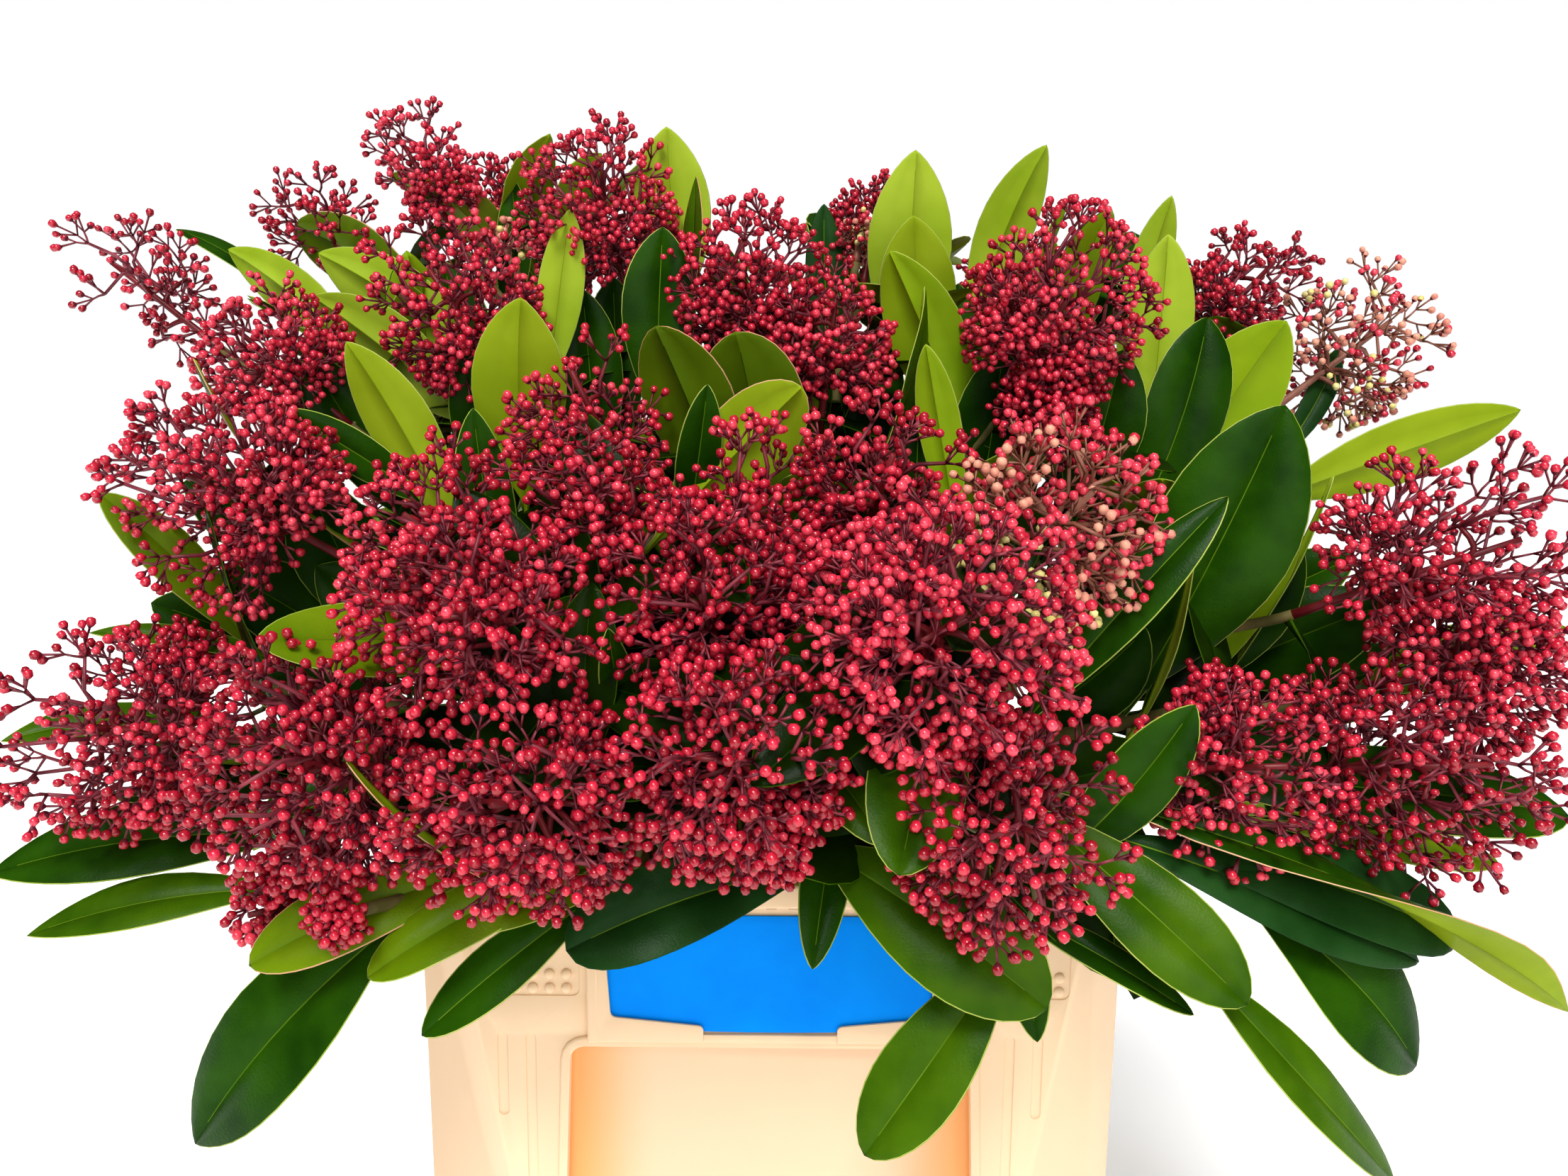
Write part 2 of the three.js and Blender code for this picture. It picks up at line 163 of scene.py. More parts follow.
def joined(pieces):
    """Joins pieces into the first one."""
    bpy.ops.object.select_all(action="DESELECT")
    for piece in pieces:
        piece.select_set(True)
    bpy.context.view_layer.objects.active = pieces[0]
    bpy.ops.object.join()
    return pieces[0]


def on_the_rim(face):
    """True for the outward faces of the rim's band."""
    middle = face.calc_center_median()
    return middle.z > HEIGHT - RIM_TALL and abs(face.normal.z) < 0.5 and face.normal.dot(middle) > 0


def wall_shell():
    """The open bucket with its cut corners and a stout rim."""
    shell = new_block("bucket_body", (-RIM_HALF, -RIM_HALF, 0), (RIM_HALF, RIM_HALF, HEIGHT))
    bpy.ops.object.mode_set(mode="EDIT")
    pick(shell, "EDGE", lambda e: abs(e.verts[0].co.z - e.verts[1].co.z) > HEIGHT / 2)
    bpy.ops.mesh.bevel(offset=RIM_CORNER, segments=1)
    foot = FOOT_HALF / RIM_HALF
    short = RIM_HALF - RIM_CORNER
    pick(shell, "VERT", lambda v: v.co.z > HEIGHT / 2 and abs(v.co.x) > abs(v.co.y))
    bpy.ops.transform.resize(value=(1, (RIM_HALF - SIDE_CORNER) / short, 1), center_override=(0, 0, 0))
    pick(shell, "VERT", lambda v: v.co.z < HEIGHT / 2 and abs(v.co.x) > abs(v.co.y))
    bpy.ops.transform.resize(value=(foot, (FOOT_HALF - SIDE_CORNER) / short, 1), center_override=(0, 0, 0))
    pick(shell, "VERT", lambda v: v.co.z < HEIGHT / 2 and abs(v.co.y) > abs(v.co.x))
    bpy.ops.transform.resize(value=((FOOT_HALF - FOOT_CORNER) / short, foot, 1), center_override=(0, 0, 0))
    pick(shell, "FACE", lambda f: f.normal.z > FACING)
    bpy.ops.mesh.delete(type="ONLY_FACE")
    bpy.ops.mesh.select_all(action="SELECT")
    bpy.ops.mesh.normals_make_consistent(inside=False)
    bpy.ops.object.mode_set(mode="OBJECT")
    finish_modifier(shell, "SOLIDIFY", thickness=WALL, offset=-1, use_even_offset=True)
    bpy.ops.object.mode_set(mode="EDIT")
    bpy.ops.mesh.select_all(action="SELECT")
    bpy.ops.mesh.bisect(plane_co=(0, 0, HEIGHT - RIM_TALL), plane_no=(0, 0, 1))
    pick(shell, "FACE", on_the_rim)
    bpy.ops.mesh.extrude_region_shrink_fatten(
        TRANSFORM_OT_shrink_fatten={"value": RIM_OUT, "use_even_offset": True}
    )
    bpy.ops.object.mode_set(mode="OBJECT")
    return shell


def rounded_plate(name, left, right, low, high, outwards, inwards, corner, wider_foot=0.0):
    """A plate against the upright plane at FOOT_HALF, with round corners as seen from the front."""
    plate = new_block(name, (left, -FOOT_HALF - outwards, low), (right, -FOOT_HALF + inwards, high))
    bpy.ops.object.mode_set(mode="EDIT")
    pick(plate, "EDGE", lambda e: abs(e.verts[0].co.y - e.verts[1].co.y) > (outwards + inwards) / 2)
    bpy.ops.mesh.bevel(offset=corner, segments=CORNER_CUTS)
    middle = (left + right) / 2
    widen = 1 + wider_foot / (right - left)
    pick(plate, "VERT", lambda v: v.co.z < (low + high) / 2)
    bpy.ops.transform.resize(value=(widen, 1, 1), center_override=(middle, 0, 0))
    bpy.ops.object.mode_set(mode="OBJECT")
    return plate


def lean_with_wall(piece):
    """Leans a piece that was made against the upright plane so that it follows the wall."""
    for vertex in piece.data.vertices:
        vertex.co.y -= WALL_LEAN * vertex.co.z


def at_the_back(piece):
    """A copy of a piece, turned half round the bucket's axis."""
    twin = piece.copy()
    twin.data = piece.data.copy()
    twin.data.transform(Matrix.Rotation(math.pi, 4, "Z"))
    bpy.context.scene.collection.objects.link(twin)
    return twin


def outline_plate(name, outline, outwards, inwards, corner):
    """A plate against the same plane from an outline of places across and up, with its corners rounded."""
    mesh = bpy.data.meshes.new(name)
    places = [(across, -FOOT_HALF - outwards, up) for across, up in outline]
    mesh.from_pydata(places, [], [range(len(outline))])
    plate = in_scene(name, mesh)
    only(plate)
    bpy.ops.object.mode_set(mode="EDIT")
    bpy.ops.mesh.select_all(action="SELECT")
    bpy.ops.mesh.extrude_region_move(TRANSFORM_OT_translate={"value": (0, outwards + inwards, 0)})
    bpy.ops.mesh.select_all(action="SELECT")
    bpy.ops.mesh.normals_make_consistent(inside=False)
    pick(plate, "EDGE", lambda e: abs(e.verts[0].co.y - e.verts[1].co.y) > (outwards + inwards) / 2)
    bpy.ops.mesh.bevel(offset=corner, segments=CORNER_CUTS)
    bpy.ops.object.mode_set(mode="OBJECT")
    return plate


PANEL_DEEP = 6.5 * MM
PANEL_HALF = 81.4 * MM
PANEL_LOW, PANEL_HIGH = 118 * MM, 275 * MM
PANEL_CORNER = 6 * MM
PANEL_WIDER_FOOT = 11 * MM
SOFT_PANEL = 3 * MM
RIDGE_WIDE = 4 * MM
RIDGE_OUT = 1.6 * MM
SOFT_RIDGE = 1.4 * MM
GROOVE_DEEP = 0.8 * MM
GROOVE_HALF = 2.1 * MM
SOFT_GROOVE = 0.7 * MM
GROOVES = ((109 * MM, 244 * MM, 280 * MM), (97.5 * MM, 184 * MM, 280 * MM))  # place across, low, high
FIELD_DEEP = 0.6 * MM
FIELD_INNER, FIELD_OUTER = 77.3 * MM, 121 * MM
FIELD_LOW, FIELD_HIGH = 296 * MM, 326 * MM
FIELD_CORNER = 3 * MM
SOFT_FIELD = 0.5 * MM
HOLE_STEP = 9 * MM
HOLES_EACH_WAY = 6
HOLE_HALF = 2.5 * MM
HOLE_LOW, HOLE_HIGH = 333.5 * MM, 336 * MM
HOLE_CORNER = 0.8 * MM
HOLE_PAST = 3 * MM
CUT_PAST = 12 * MM


def panel_plate(name, grow, outwards, inwards):
    """A plate in the outline of the sunk panel, larger than it all round."""
    return rounded_plate(
        name, -PANEL_HALF - grow, PANEL_HALF + grow, PANEL_LOW - grow, PANEL_HIGH + grow, outwards, inwards,
        PANEL_CORNER + grow, PANEL_WIDER_FOOT
    )


def sunk(plate, deep, soft):
    """Rounds the inner rim of a plate that will be cut out of the wall."""
    only(plate)
    bpy.ops.object.mode_set(mode="EDIT")
    pick(plate, "EDGE", lambda e: min(v.co.y for v in e.verts) > -FOOT_HALF + deep / 2)
    bpy.ops.mesh.bevel(offset=soft, segments=3)
    bpy.ops.object.mode_set(mode="OBJECT")
    return plate


# The shell gets a rib round each panel, and a second skin behind it, before the panel is sunk
surround = softened(panel_plate("panel_rib", RIDGE_WIDE, RIDGE_OUT, MM), SOFT_RIDGE, 3)
backing = panel_plate("panel_backing", WALL, -MM, PANEL_DEEP + WALL)
cutters = [sunk(panel_plate("cut", 0, CUT_PAST, PANEL_DEEP), PANEL_DEEP, SOFT_PANEL)]
for side in (-1, 1):
    for across, low, high in GROOVES:
        left, right = side * across - GROOVE_HALF, side * across + GROOVE_HALF
        groove = rounded_plate("cut", left, right, low, high, CUT_PAST, GROOVE_DEEP, 0.95 * GROOVE_HALF)
        cutters.append(sunk(groove, GROOVE_DEEP, SOFT_GROOVE))
    left, right = sorted((side * FIELD_INNER, side * FIELD_OUTER))
    field = rounded_plate("cut", left, right, FIELD_LOW, FIELD_HIGH, CUT_PAST, FIELD_DEEP, FIELD_CORNER)
    cutters.append(sunk(field, FIELD_DEEP, SOFT_FIELD))
for step in range(-HOLES_EACH_WAY, HOLES_EACH_WAY + 1):
    left, right = step * HOLE_STEP - HOLE_HALF, step * HOLE_STEP + HOLE_HALF
    cutters.append(rounded_plate(
        "cut", left, right, HOLE_LOW, HOLE_HIGH, HOLE_PAST, 2 * WALL, HOLE_CORNER
    ))
cutter = joined(cutters)
for piece in (surround, backing, cutter):
    lean_with_wall(piece)

bucket = softened(wall_shell(), SOFT_WALL, 3, 20)
for piece, operation in ((surround, "UNION"), (backing, "UNION"), (cutter, "DIFFERENCE")):
    both = joined([piece, at_the_back(piece)])
    finish_modifier(bucket, "BOOLEAN", operation=operation, solver="EXACT", object=both)
    bpy.data.objects.remove(both)
softened(bucket, SOFT_EDGE, 2, 35)

# The raised parts of the same moulding: the pocket's frame with its two lips and their slot, and the dots
POCKET_HALF = 74 * MM
POCKET_LOW, POCKET_HIGH = 277.2 * MM, 334.8 * MM
LIP_BACK, LIP_OUT = 1.6 * MM, 3 * MM
POST_WIDE = 4.5 * MM
POST_PROUD = 0.3 * MM
FRAME_IN = 1.4 * MM
FRAME_CORNER = 2 * MM
SOFT_FRAME, SOFT_POST, SOFT_FOOT = 0.5 * MM, 1.3 * MM, 0.6 * MM
FOOT_HIGH, FOOT_OUT, FOOT_ROUND = 280.7 * MM, 2.1 * MM, 0.8 * MM
WINDOW = (
    (-68.2 * MM, 345 * MM), (-64.4 * MM, 288.6 * MM), (-27 * MM, 284.8 * MM), (-27 * MM, 270 * MM),
    (27 * MM, 270 * MM), (27 * MM, 284.8 * MM), (64.4 * MM, 288.6 * MM), (68.2 * MM, 345 * MM),
)
DOT_FIRST, DOT_STEP, DOT_COLUMNS = 82.6 * MM, 6.8 * MM, 6
DOT_ROWS = (299.2 * MM, 305.2 * MM)
DOT_RADIUS = 2.2 * MM
DOT_FLAT = 0.6

frame_half = POCKET_HALF - FRAME_IN
frame_plate = rounded_plate(
    "pocket_frame", -frame_half, frame_half, POCKET_LOW + POST_PROUD, POCKET_HIGH, LIP_OUT, -LIP_BACK,
    FRAME_CORNER
)
window = outline_plate("cut", WINDOW, CUT_PAST, CUT_PAST, FRAME_CORNER)
finish_modifier(frame_plate, "BOOLEAN", operation="DIFFERENCE", solver="EXACT", object=window)
bpy.data.objects.remove(window)
raised = [softened(frame_plate, SOFT_FRAME)]
for side in (-1, 1):
    left, right = sorted((side * POCKET_HALF, side * (POCKET_HALF - POST_WIDE)))
    post = rounded_plate("post", left, right, POCKET_LOW, POCKET_HIGH, LIP_OUT + POST_PROUD, MM, MM)
    raised.append(softened(post, SOFT_POST, 3))
    for row in DOT_ROWS:
        for column in range(DOT_COLUMNS):
            place = (side * (DOT_FIRST + column * DOT_STEP), -FOOT_HALF + 0.5 * FIELD_DEEP, row)
            bpy.ops.object.select_all(action="DESELECT")
            bpy.ops.mesh.primitive_uv_sphere_add(
                segments=14, ring_count=8, radius=DOT_RADIUS, location=place, scale=(1, DOT_FLAT, 1)
            )
            bpy.ops.object.transform_apply(location=True, rotation=True, scale=True)
            raised.append(bpy.context.object)
foot = rounded_plate("foot", -frame_half, frame_half, POCKET_LOW, FOOT_HIGH, FOOT_OUT, MM, FOOT_ROUND)
raised.append(softened(foot, SOFT_FOOT))
raised = joined(raised)
lean_with_wall(raised)
raised = joined([raised, at_the_back(raised)])
bucket = joined([bucket, raised])
only(bucket)
bpy.ops.object.shade_smooth_by_angle(angle=math.radians(36))


def set_inputs(node, values):
    """Sets input sockets of a node by their names."""
    for name, value in values.items():
        node.inputs[name].default_value = value


def wire(tree, *rows):
    """Joins outputs of nodes to inputs of others, row by row."""
    for node, output, target, given in rows:
        tree.links.new(node.outputs[output], target.inputs[given])


def mottle_group():
    """A node group: two colours mixed in soft clouds, and a fine height for a bump."""
    group = bpy.data.node_groups.new("mottle", "ShaderNodeTree")
    inputs = (
        ("Coordinates", "Vector"), ("Cloud Scale", "Float"), ("Grain Scale", "Float"),
        ("Deep Colour", "Color"), ("Pale Colour", "Color"), ("Rough Low", "Float"), ("Rough High", "Float"),
    )
    for name, kind in inputs:
        group.interface.new_socket(name, in_out="INPUT", socket_type="NodeSocket" + kind)
    for name, kind in (("Colour", "Color"), ("Roughness", "Float"), ("Height", "Float")):
        group.interface.new_socket(name, in_out="OUTPUT", socket_type="NodeSocket" + kind)
    nodes = group.nodes
    given = nodes.new("NodeGroupInput")
    result = nodes.new("NodeGroupOutput")
    clouds = nodes.new("ShaderNodeTexNoise")
    clouds.inputs["Detail"].default_value = 3
    grain = nodes.new("ShaderNodeTexNoise")
    grain.inputs["Detail"].default_value = 4
    colours = nodes.new("ShaderNodeMix")
    colours.data_type = "RGBA"
    spread = nodes.new("ShaderNodeMapRange")
    set_inputs(spread, {"From Min": 0.32, "From Max": 0.68})
    rough = nodes.new("ShaderNodeMapRange")
    wire(
        group,
        (given, "Coordinates", clouds, "Vector"), (given, "Coordinates", grain, "Vector"),
        (given, "Cloud Scale", clouds, "Scale"), (given, "Grain Scale", grain, "Scale"),
        (clouds, "Fac", spread, "Value"), (spread, "Result", colours, "Factor"),
        (given, "Deep Colour", colours, "A"), (given, "Pale Colour", colours, "B"),
        (grain, "Fac", rough, "Value"), (given, "Rough Low", rough, "To Min"),
        (given, "Rough High", rough, "To Max"), (colours, "Result", result, "Colour"),
        (rough, "Result", result, "Roughness"), (grain, "Fac", result, "Height"),
    )
    return group


MOTTLE = mottle_group()


def mottled(name, deep, pale, rough, clouds=30.0, grain=900.0, bump=0.0, bump_mm=0.1, shine=0.5):
    """A material of two close colours in soft clouds, with a fine grain in its gloss and relief."""
    material = bpy.data.materials.new(name)
    material.use_nodes = True
    tree = material.node_tree
    shader = tree.nodes["Principled BSDF"]
    shader.inputs["Specular IOR Level"].default_value = shine
    place = tree.nodes.new("ShaderNodeTexCoord")
    mottle = tree.nodes.new("ShaderNodeGroup")
    mottle.node_tree = MOTTLE
    set_inputs(mottle, {
        "Cloud Scale": clouds, "Grain Scale": grain, "Deep Colour": (*deep, 1), "Pale Colour": (*pale, 1),
        "Rough Low": rough[0], "Rough High": rough[1],
    })
    wire(
        tree, (place, "Object", mottle, "Coordinates"), (mottle, "Colour", shader, "Base Color"),
        (mottle, "Roughness", shader, "Roughness"),
    )
    if bump:
        relief = tree.nodes.new("ShaderNodeBump")
        set_inputs(relief, {"Strength": bump, "Distance": bump_mm * MM})
        wire(tree, (mottle, "Height", relief, "Height"), (relief, "Normal", shader, "Normal"))
    return material


SATIN = dict(rough=(0.38, 0.52), clouds=14, bump=0.15, shine=0.25)
ivory = mottled("ivory_plastic", (0.86, 0.60, 0.38), (0.89, 0.63, 0.405), **SATIN)
# Painted light: the sunk panels take a darker ivory for the shade in their recess, with a painted orange glow
# towards their sides for light that comes through the thin plastic
PAINTED_GLOW_FROM, PAINTED_GLOW_TO = 45 * MM, 84 * MM
PAINTED_GLOW_COLOUR = (0.86, 0.36, 0.11, 1)
painted_panel_light = mottled("ivory_painted_shade_and_glow", (0.79, 0.54, 0.35), (0.81, 0.56, 0.365), **SATIN)
nodes = painted_panel_light.node_tree.nodes
place = nodes.new("ShaderNodeTexCoord")
parts = nodes.new("ShaderNodeSeparateXYZ")
away = nodes.new("ShaderNodeMath")
away.operation = "ABSOLUTE"
painted_glow_share = nodes.new("ShaderNodeMapRange")
painted_glow_share.interpolation_type = "SMOOTHSTEP"
set_inputs(painted_glow_share, {"From Min": PAINTED_GLOW_FROM, "From Max": PAINTED_GLOW_TO})
blend = nodes.new("ShaderNodeMix")
blend.data_type = "RGBA"
blend.inputs["B"].default_value = PAINTED_GLOW_COLOUR
shader = nodes["Principled BSDF"]
painted_panel_light.node_tree.links.new(shader.inputs["Base Color"].links[0].from_socket, blend.inputs["A"])
wire(
    painted_panel_light.node_tree,
    (place, "Object", parts, "Vector"), (parts, "X", away, 0), (away, "Value", painted_glow_share, "Value"),
    (painted_glow_share, "Result", blend, "Factor"), (blend, "Result", shader, "Base Color"),
)

bucket.data.materials.clear()
bucket.data.materials.append(ivory)
bucket.data.materials.append(painted_panel_light)
# Painted light: the faces inside the sunk panels take the darker ivory with its painted glow
for face in bucket.data.polygons:
    across, out, up = face.center
    deep = FOOT_HALF + WALL_LEAN * up - abs(out)
    beside = abs(across) < PANEL_HALF + PANEL_WIDER_FOOT
    face.material_index = int(PANEL_LOW < up < PANEL_HIGH and beside and MM < deep < PANEL_DEEP + MM)
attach(bucket, "root")
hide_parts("bucket")


# ---- the card ----
# A blank card of bright blue, printed and coated, cut with a bowed lower edge. It stands in the pocket,
# leans with the wall and is a little darker where the lips shade it.

CARD_LOW, CARD_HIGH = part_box("card")
CARD_SAG = 1.8 * MM
CARD_LIFT = 3.4 * MM
CARD_WIDER = 3 * MM
CARD_THICK = 0.8 * MM
CARD_NARROW = 3 * MM
CARD_GAP = 0.35 * MM
SOFT_CARD = 0.2 * MM

bpy.ops.object.select_all(action="DESELECT")
bpy.ops.mesh.primitive_grid_add(x_subdivisions=24, y_subdivisions=12, size=1)
card = bpy.context.object
card.name = "blue_card"
card_top = CARD_HIGH.z
card_foot = CARD_LOW.z + CARD_LIFT + CARD_SAG
for vertex in card.data.vertices:
    across, up = 2 * vertex.co.x, vertex.co.y + 0.5
    half = CARD_HIGH.x + CARD_WIDER - CARD_NARROW * (1 - up)
    foot = card_foot - CARD_SAG * (1 - across * across)
    height = foot + (card_top - foot) * up
    face = FOOT_HALF + WALL_LEAN * height + CARD_GAP + CARD_THICK / 2
    vertex.co = (half * across, -face, height)
finish_modifier(card, "SOLIDIFY", thickness=CARD_THICK, offset=0)
finish_modifier(card, "BEVEL", width=SOFT_CARD, segments=2, limit_method="ANGLE")
bpy.ops.object.shade_smooth_by_angle(angle=math.radians(40))
card.data.materials.append(mottled(
    "blue_print", (0.0, 0.235, 0.93), (0.0, 0.27, 0.98), (0.35, 0.45), 40, 2500, 0.08, shine=0.03
))
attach(card, "root")
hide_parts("card")


# ---- the flower heads ----
# Each cut stem ends in a cone or dome of flower buds. A dark red main stalk gives off side stalks all
# round; these fork into tufts, and each tuft into threes of short stalks with a round bud on the end.
# The buds are waxy, crimson to rose, with a small dark cup; two heads are still cream and pale pink.

HEART = Vector((0, 0, HEIGHT - 5 * MM))
DICE = np.random.default_rng(20261124)
GOLDEN = math.pi * (3 - math.sqrt(5))
BUD_RADIUS = 1.92 * MM
BUD_SEGMENTS, BUD_RINGS = 6, 4
SHOULDER, CUP_RAISED, FOOT_DRAWN, BUD_LONG = 1.12, 0.15, 0.3, 1.1
BUD_SIZES = (0.84, 1.08)
BUD_MIDDLE = 1.35
BUD_APART = 3.9 * MM
BUD_ROUNDS = 4
TUFT_AREA = 262 * MM * MM
TUFT_SHARE = 0.8
LEAST_TUFTS = 7
TUFT_DEEP = 13.5 * MM
CUP_HIGH = 0.9
CROWDED_KEEP = 0.22
CROWDED_NEAR = 7 * MM
OUTER_SHARE = (0.91, 1.11)
INNER_SHARE = (0.5, 0.78)
WIDEST_TUFT = math.radians(112)
CORE_BELOW, TIP_ABOVE = 0.36, 0.62
FOOT_BELOW, FOOT_APART = 0.95, 4 * MM
TUFTS_OF_A_STALK, LEAST_STALKS = 4, 3
LOWEST_STALK = 0.72
FORK_OUT, TWIG_BEND = 0.50, 0.45
PARTS_OF_A_TUFT = 3
PART_TURN, PART_OUT, PART_LONG = 0.25, (0.55, 0.95), (0.30, 0.46)
BESIDE_TURN, BESIDE_OUT, AIM_SPREAD = 0.5, (0.7, 1.1), 0.16
BUD_STALK_LONG, MIDDLE_LONGER, BESIDE_SHORTER = (0.40, 0.62), 1.12, 0.95
STRAY_BUDS, STRAY_PALE_BUDS = 0.25, 0.1


def style(openness, keep, inner, *shares, far=OUTER_SHARE, pale_side=None):
    """A kind of head: how open it is, the tufts it keeps and has inside, and the shares of its colours."""
    shares += (0,) * (5 - len(shares))
    return dict(open=openness, keep=keep, inner=inner, shares=shares, far=far, pale_side=pale_side)


# The shares are those of the crimson, deep, rose, pink-cream and cream buds
STYLES = {
    "crimson": style(1.06, 0.92, 0.34, 0.52, 0.30, 0.18),
    "rose": style(1.15, 0.95, 0.34, 0.22, 0.06, 0.72),
    "deep": style(1.1, 0.85, 0.34, 0.30, 0.64, 0.06),
    "ruby": style(1.1, 0.85, 0.34, 0.56, 0.14, 0.30),
    "bright": style(1.06, 0.92, 0.34, 0.52, 0.08, 0.40),
    # Painted shade: the low, dusk and airy_dusk styles have more deep buds and fewer rose ones, for the shade
    # that the heads above cast on them
    "low": style(1.06, 0.92, 0.34, 0.48, 0.46, 0.06),
    "dusk": style(1.06, 0.92, 0.34, 0.34, 0.63, 0.03),
    "airy_dusk": style(1.3, 0.66, 0.24, 0.40, 0.56, 0.04),
    "loose": style(1.15, 0.85, 0.28, 0.50, 0.38, 0.12),
    "airy": style(1.3, 0.66, 0.24, 0.58, 0.10, 0.32),
    "sparse": style(1.3, 0.48, 0.10, 0.42, 0.46, 0.12, far=(1.0, 1.24)),
    "cream": style(1.2, 0.8, 0.25, 0.10, 0, 0.66, 0.14, 0.10, pale_side=(-0.7, -0.4, -0.6)),
    "pale": style(1.3, 0.5, 0.1, 0.14, 0.12, 0.30, 0.30, 0.14, far=(1.0, 1.2)),
    "back": style(1.1, 0.6, 0.2, 0.50, 0.32, 0.18),
    "back_low": style(1.1, 0.6, 0.2, 0.50, 0.32, 0.18, far=(0.72, 0.90)),
}
# Painted shade: the heads that take the low, dusk and airy_dusk styles are the ones shaded by heads above them
HEADS_OF_A_STYLE = {
    "rose": "front_star", "cream": "cream", "pale": "pale_right", "deep": "dark_right", "loose": "far_left",
    "sparse": "arm_left tuft_left", "ruby": "spire_left left_dome spire_mid", "dusk": "low_left",
    "airy": "great_right mid_upper low_right", "airy_dusk": "great_right_low",
    "low": "low_left_centre low_centre low_right_centre front_mid",
    "bright": "tall_right pair_mid pair_right left_upper left_shoulder",
    "back": "back_left back_right back_mid_left back_mid_right",
    "back_low": "back_left_high back_mid_high back_right_high",
}
HEAD_STYLES = {head: name for name, names in HEADS_OF_A_STYLE.items() for head in names.split()}
# How far a head stands off the middle of its solid, in mm
HEAD_MOVES = {
    "great_right": (12, 0, -1), "far_left": (0, 0, -8), "mid_upper": (-4, 0, -5), "mid_a": (0, 0, -11),
    "mid_c": (0, 0, -8), "mid_d": (-4, 0, -10), "pair_right": (-9, 0, 3), "spire_left": (0, 0, 5),
    "arm_left": (-3, 0, 6), "tuft_left": (0, 0, 6), "left_shoulder": (0, 0, 3),
    "low_right_centre": (-6, 0, 0),
}


def new_mesh_piece(name, points, faces, face_slots, materials):
    """A smooth mesh piece from arrays of points and triangles."""
    mesh = bpy.data.meshes.new(name)
    mesh.vertices.add(len(points))
    mesh.vertices.foreach_set("co", np.asarray(points, np.float32).ravel())
    mesh.loops.add(faces.size)
    mesh.loops.foreach_set("vertex_index", faces.astype(np.int32).ravel())
    mesh.polygons.add(len(faces))
    mesh.polygons.foreach_set("loop_start", np.arange(len(faces), dtype=np.int32) * 3)
    mesh.polygons.foreach_set("material_index", np.asarray(face_slots, np.int32))
    mesh.polygons.foreach_set("use_smooth", np.ones(len(faces), bool))
    mesh.update(calc_edges=True)
    mesh.validate()
    for material in materials:
        mesh.materials.append(material)
    return in_scene(name, mesh)


def bud_model():
    """One egg-shaped bud as points and triangles, with its foot at the origin, and which are its cup."""
    bpy.ops.object.select_all(action="DESELECT")
    bpy.ops.mesh.primitive_uv_sphere_add(segments=BUD_SEGMENTS, ring_count=BUD_RINGS, radius=1)
    bud = bpy.context.object
    bpy.ops.object.mode_set(mode="EDIT")
    pick(bud, "VERT", lambda v: 0.6 < v.co.z < 0.9)
    bpy.ops.transform.resize(value=(SHOULDER, SHOULDER, 1), center_override=(0, 0, 0))
    pick(bud, "VERT", lambda v: -0.9 < v.co.z < -0.6)
    bpy.ops.transform.translate(value=(0, 0, CUP_RAISED))
    pick(bud, "VERT", lambda v: v.co.z < -0.9)
    bpy.ops.transform.translate(value=(0, 0, -FOOT_DRAWN))
    bpy.ops.mesh.select_all(action="SELECT")
    bpy.ops.transform.resize(value=(1, 1, BUD_LONG), center_override=(0, 0, 0))
    bpy.ops.transform.translate(value=(0, 0, BUD_MIDDLE))
    bpy.ops.mesh.quads_convert_to_tris()
    bpy.ops.object.mode_set(mode="OBJECT")
    points = np.array([v.co for v in bud.data.vertices])
    faces = np.array([p.vertices for p in bud.data.polygons])
    cup = np.array([max(points[i][2] for i in p.vertices) < CUP_HIGH for p in bud.data.polygons])
    bpy.data.objects.remove(bud)
    return points, faces, cup


def unit(rows):
    """Rows of vectors, each of length 1."""
    return rows / np.maximum(np.linalg.norm(rows, axis=-1, keepdims=True), 1e-12)


def side_axes(along):
    """Two unit rows square to each row of unit vectors."""
    helper = np.where(np.abs(along[..., 2:3]) > 0.9, [[1.0, 0.0, 0.0]], [[0.0, 0.0, 1.0]])
    first = unit(np.cross(helper, along))
    return first, np.cross(along, first)


def copies(model, places, along, sizes, spins):
    """The points and triangles of many copies of a model, each with its Z along a direction."""
    points, faces = model
    first, second = side_axes(along)
    turn, lift = np.cos(spins)[:, None], np.sin(spins)[:, None]
    across = first * turn + second * lift
    through = second * turn - first * lift
    scaled = points[None] * sizes[:, None, None]
    placed = (
        places[:, None]
        + scaled[..., 0:1] * across[:, None]
        + scaled[..., 1:2] * through[:, None]
        + scaled[..., 2:3] * along[:, None]
    )
    shifted = faces[None] + (np.arange(len(places)) * len(points))[:, None, None]
    return placed.reshape(-1, 3), shifted.reshape(-1, 3)


def tube_faces(steps, sides):
    """The triangles of one closed tube of so many rings and sides."""
    faces = []
    for step in range(steps - 1):
        for side in range(sides):
            a, b = step * sides + side, step * sides + (side + 1) % sides
            faces += [(a, b, b + sides), (a, b + sides, a + sides)]
    last = (steps - 1) * sides
    for side in range(1, sides - 1):
        faces += [(0, side + 1, side), (last, last + side, last + side + 1)]
    return np.array(faces)


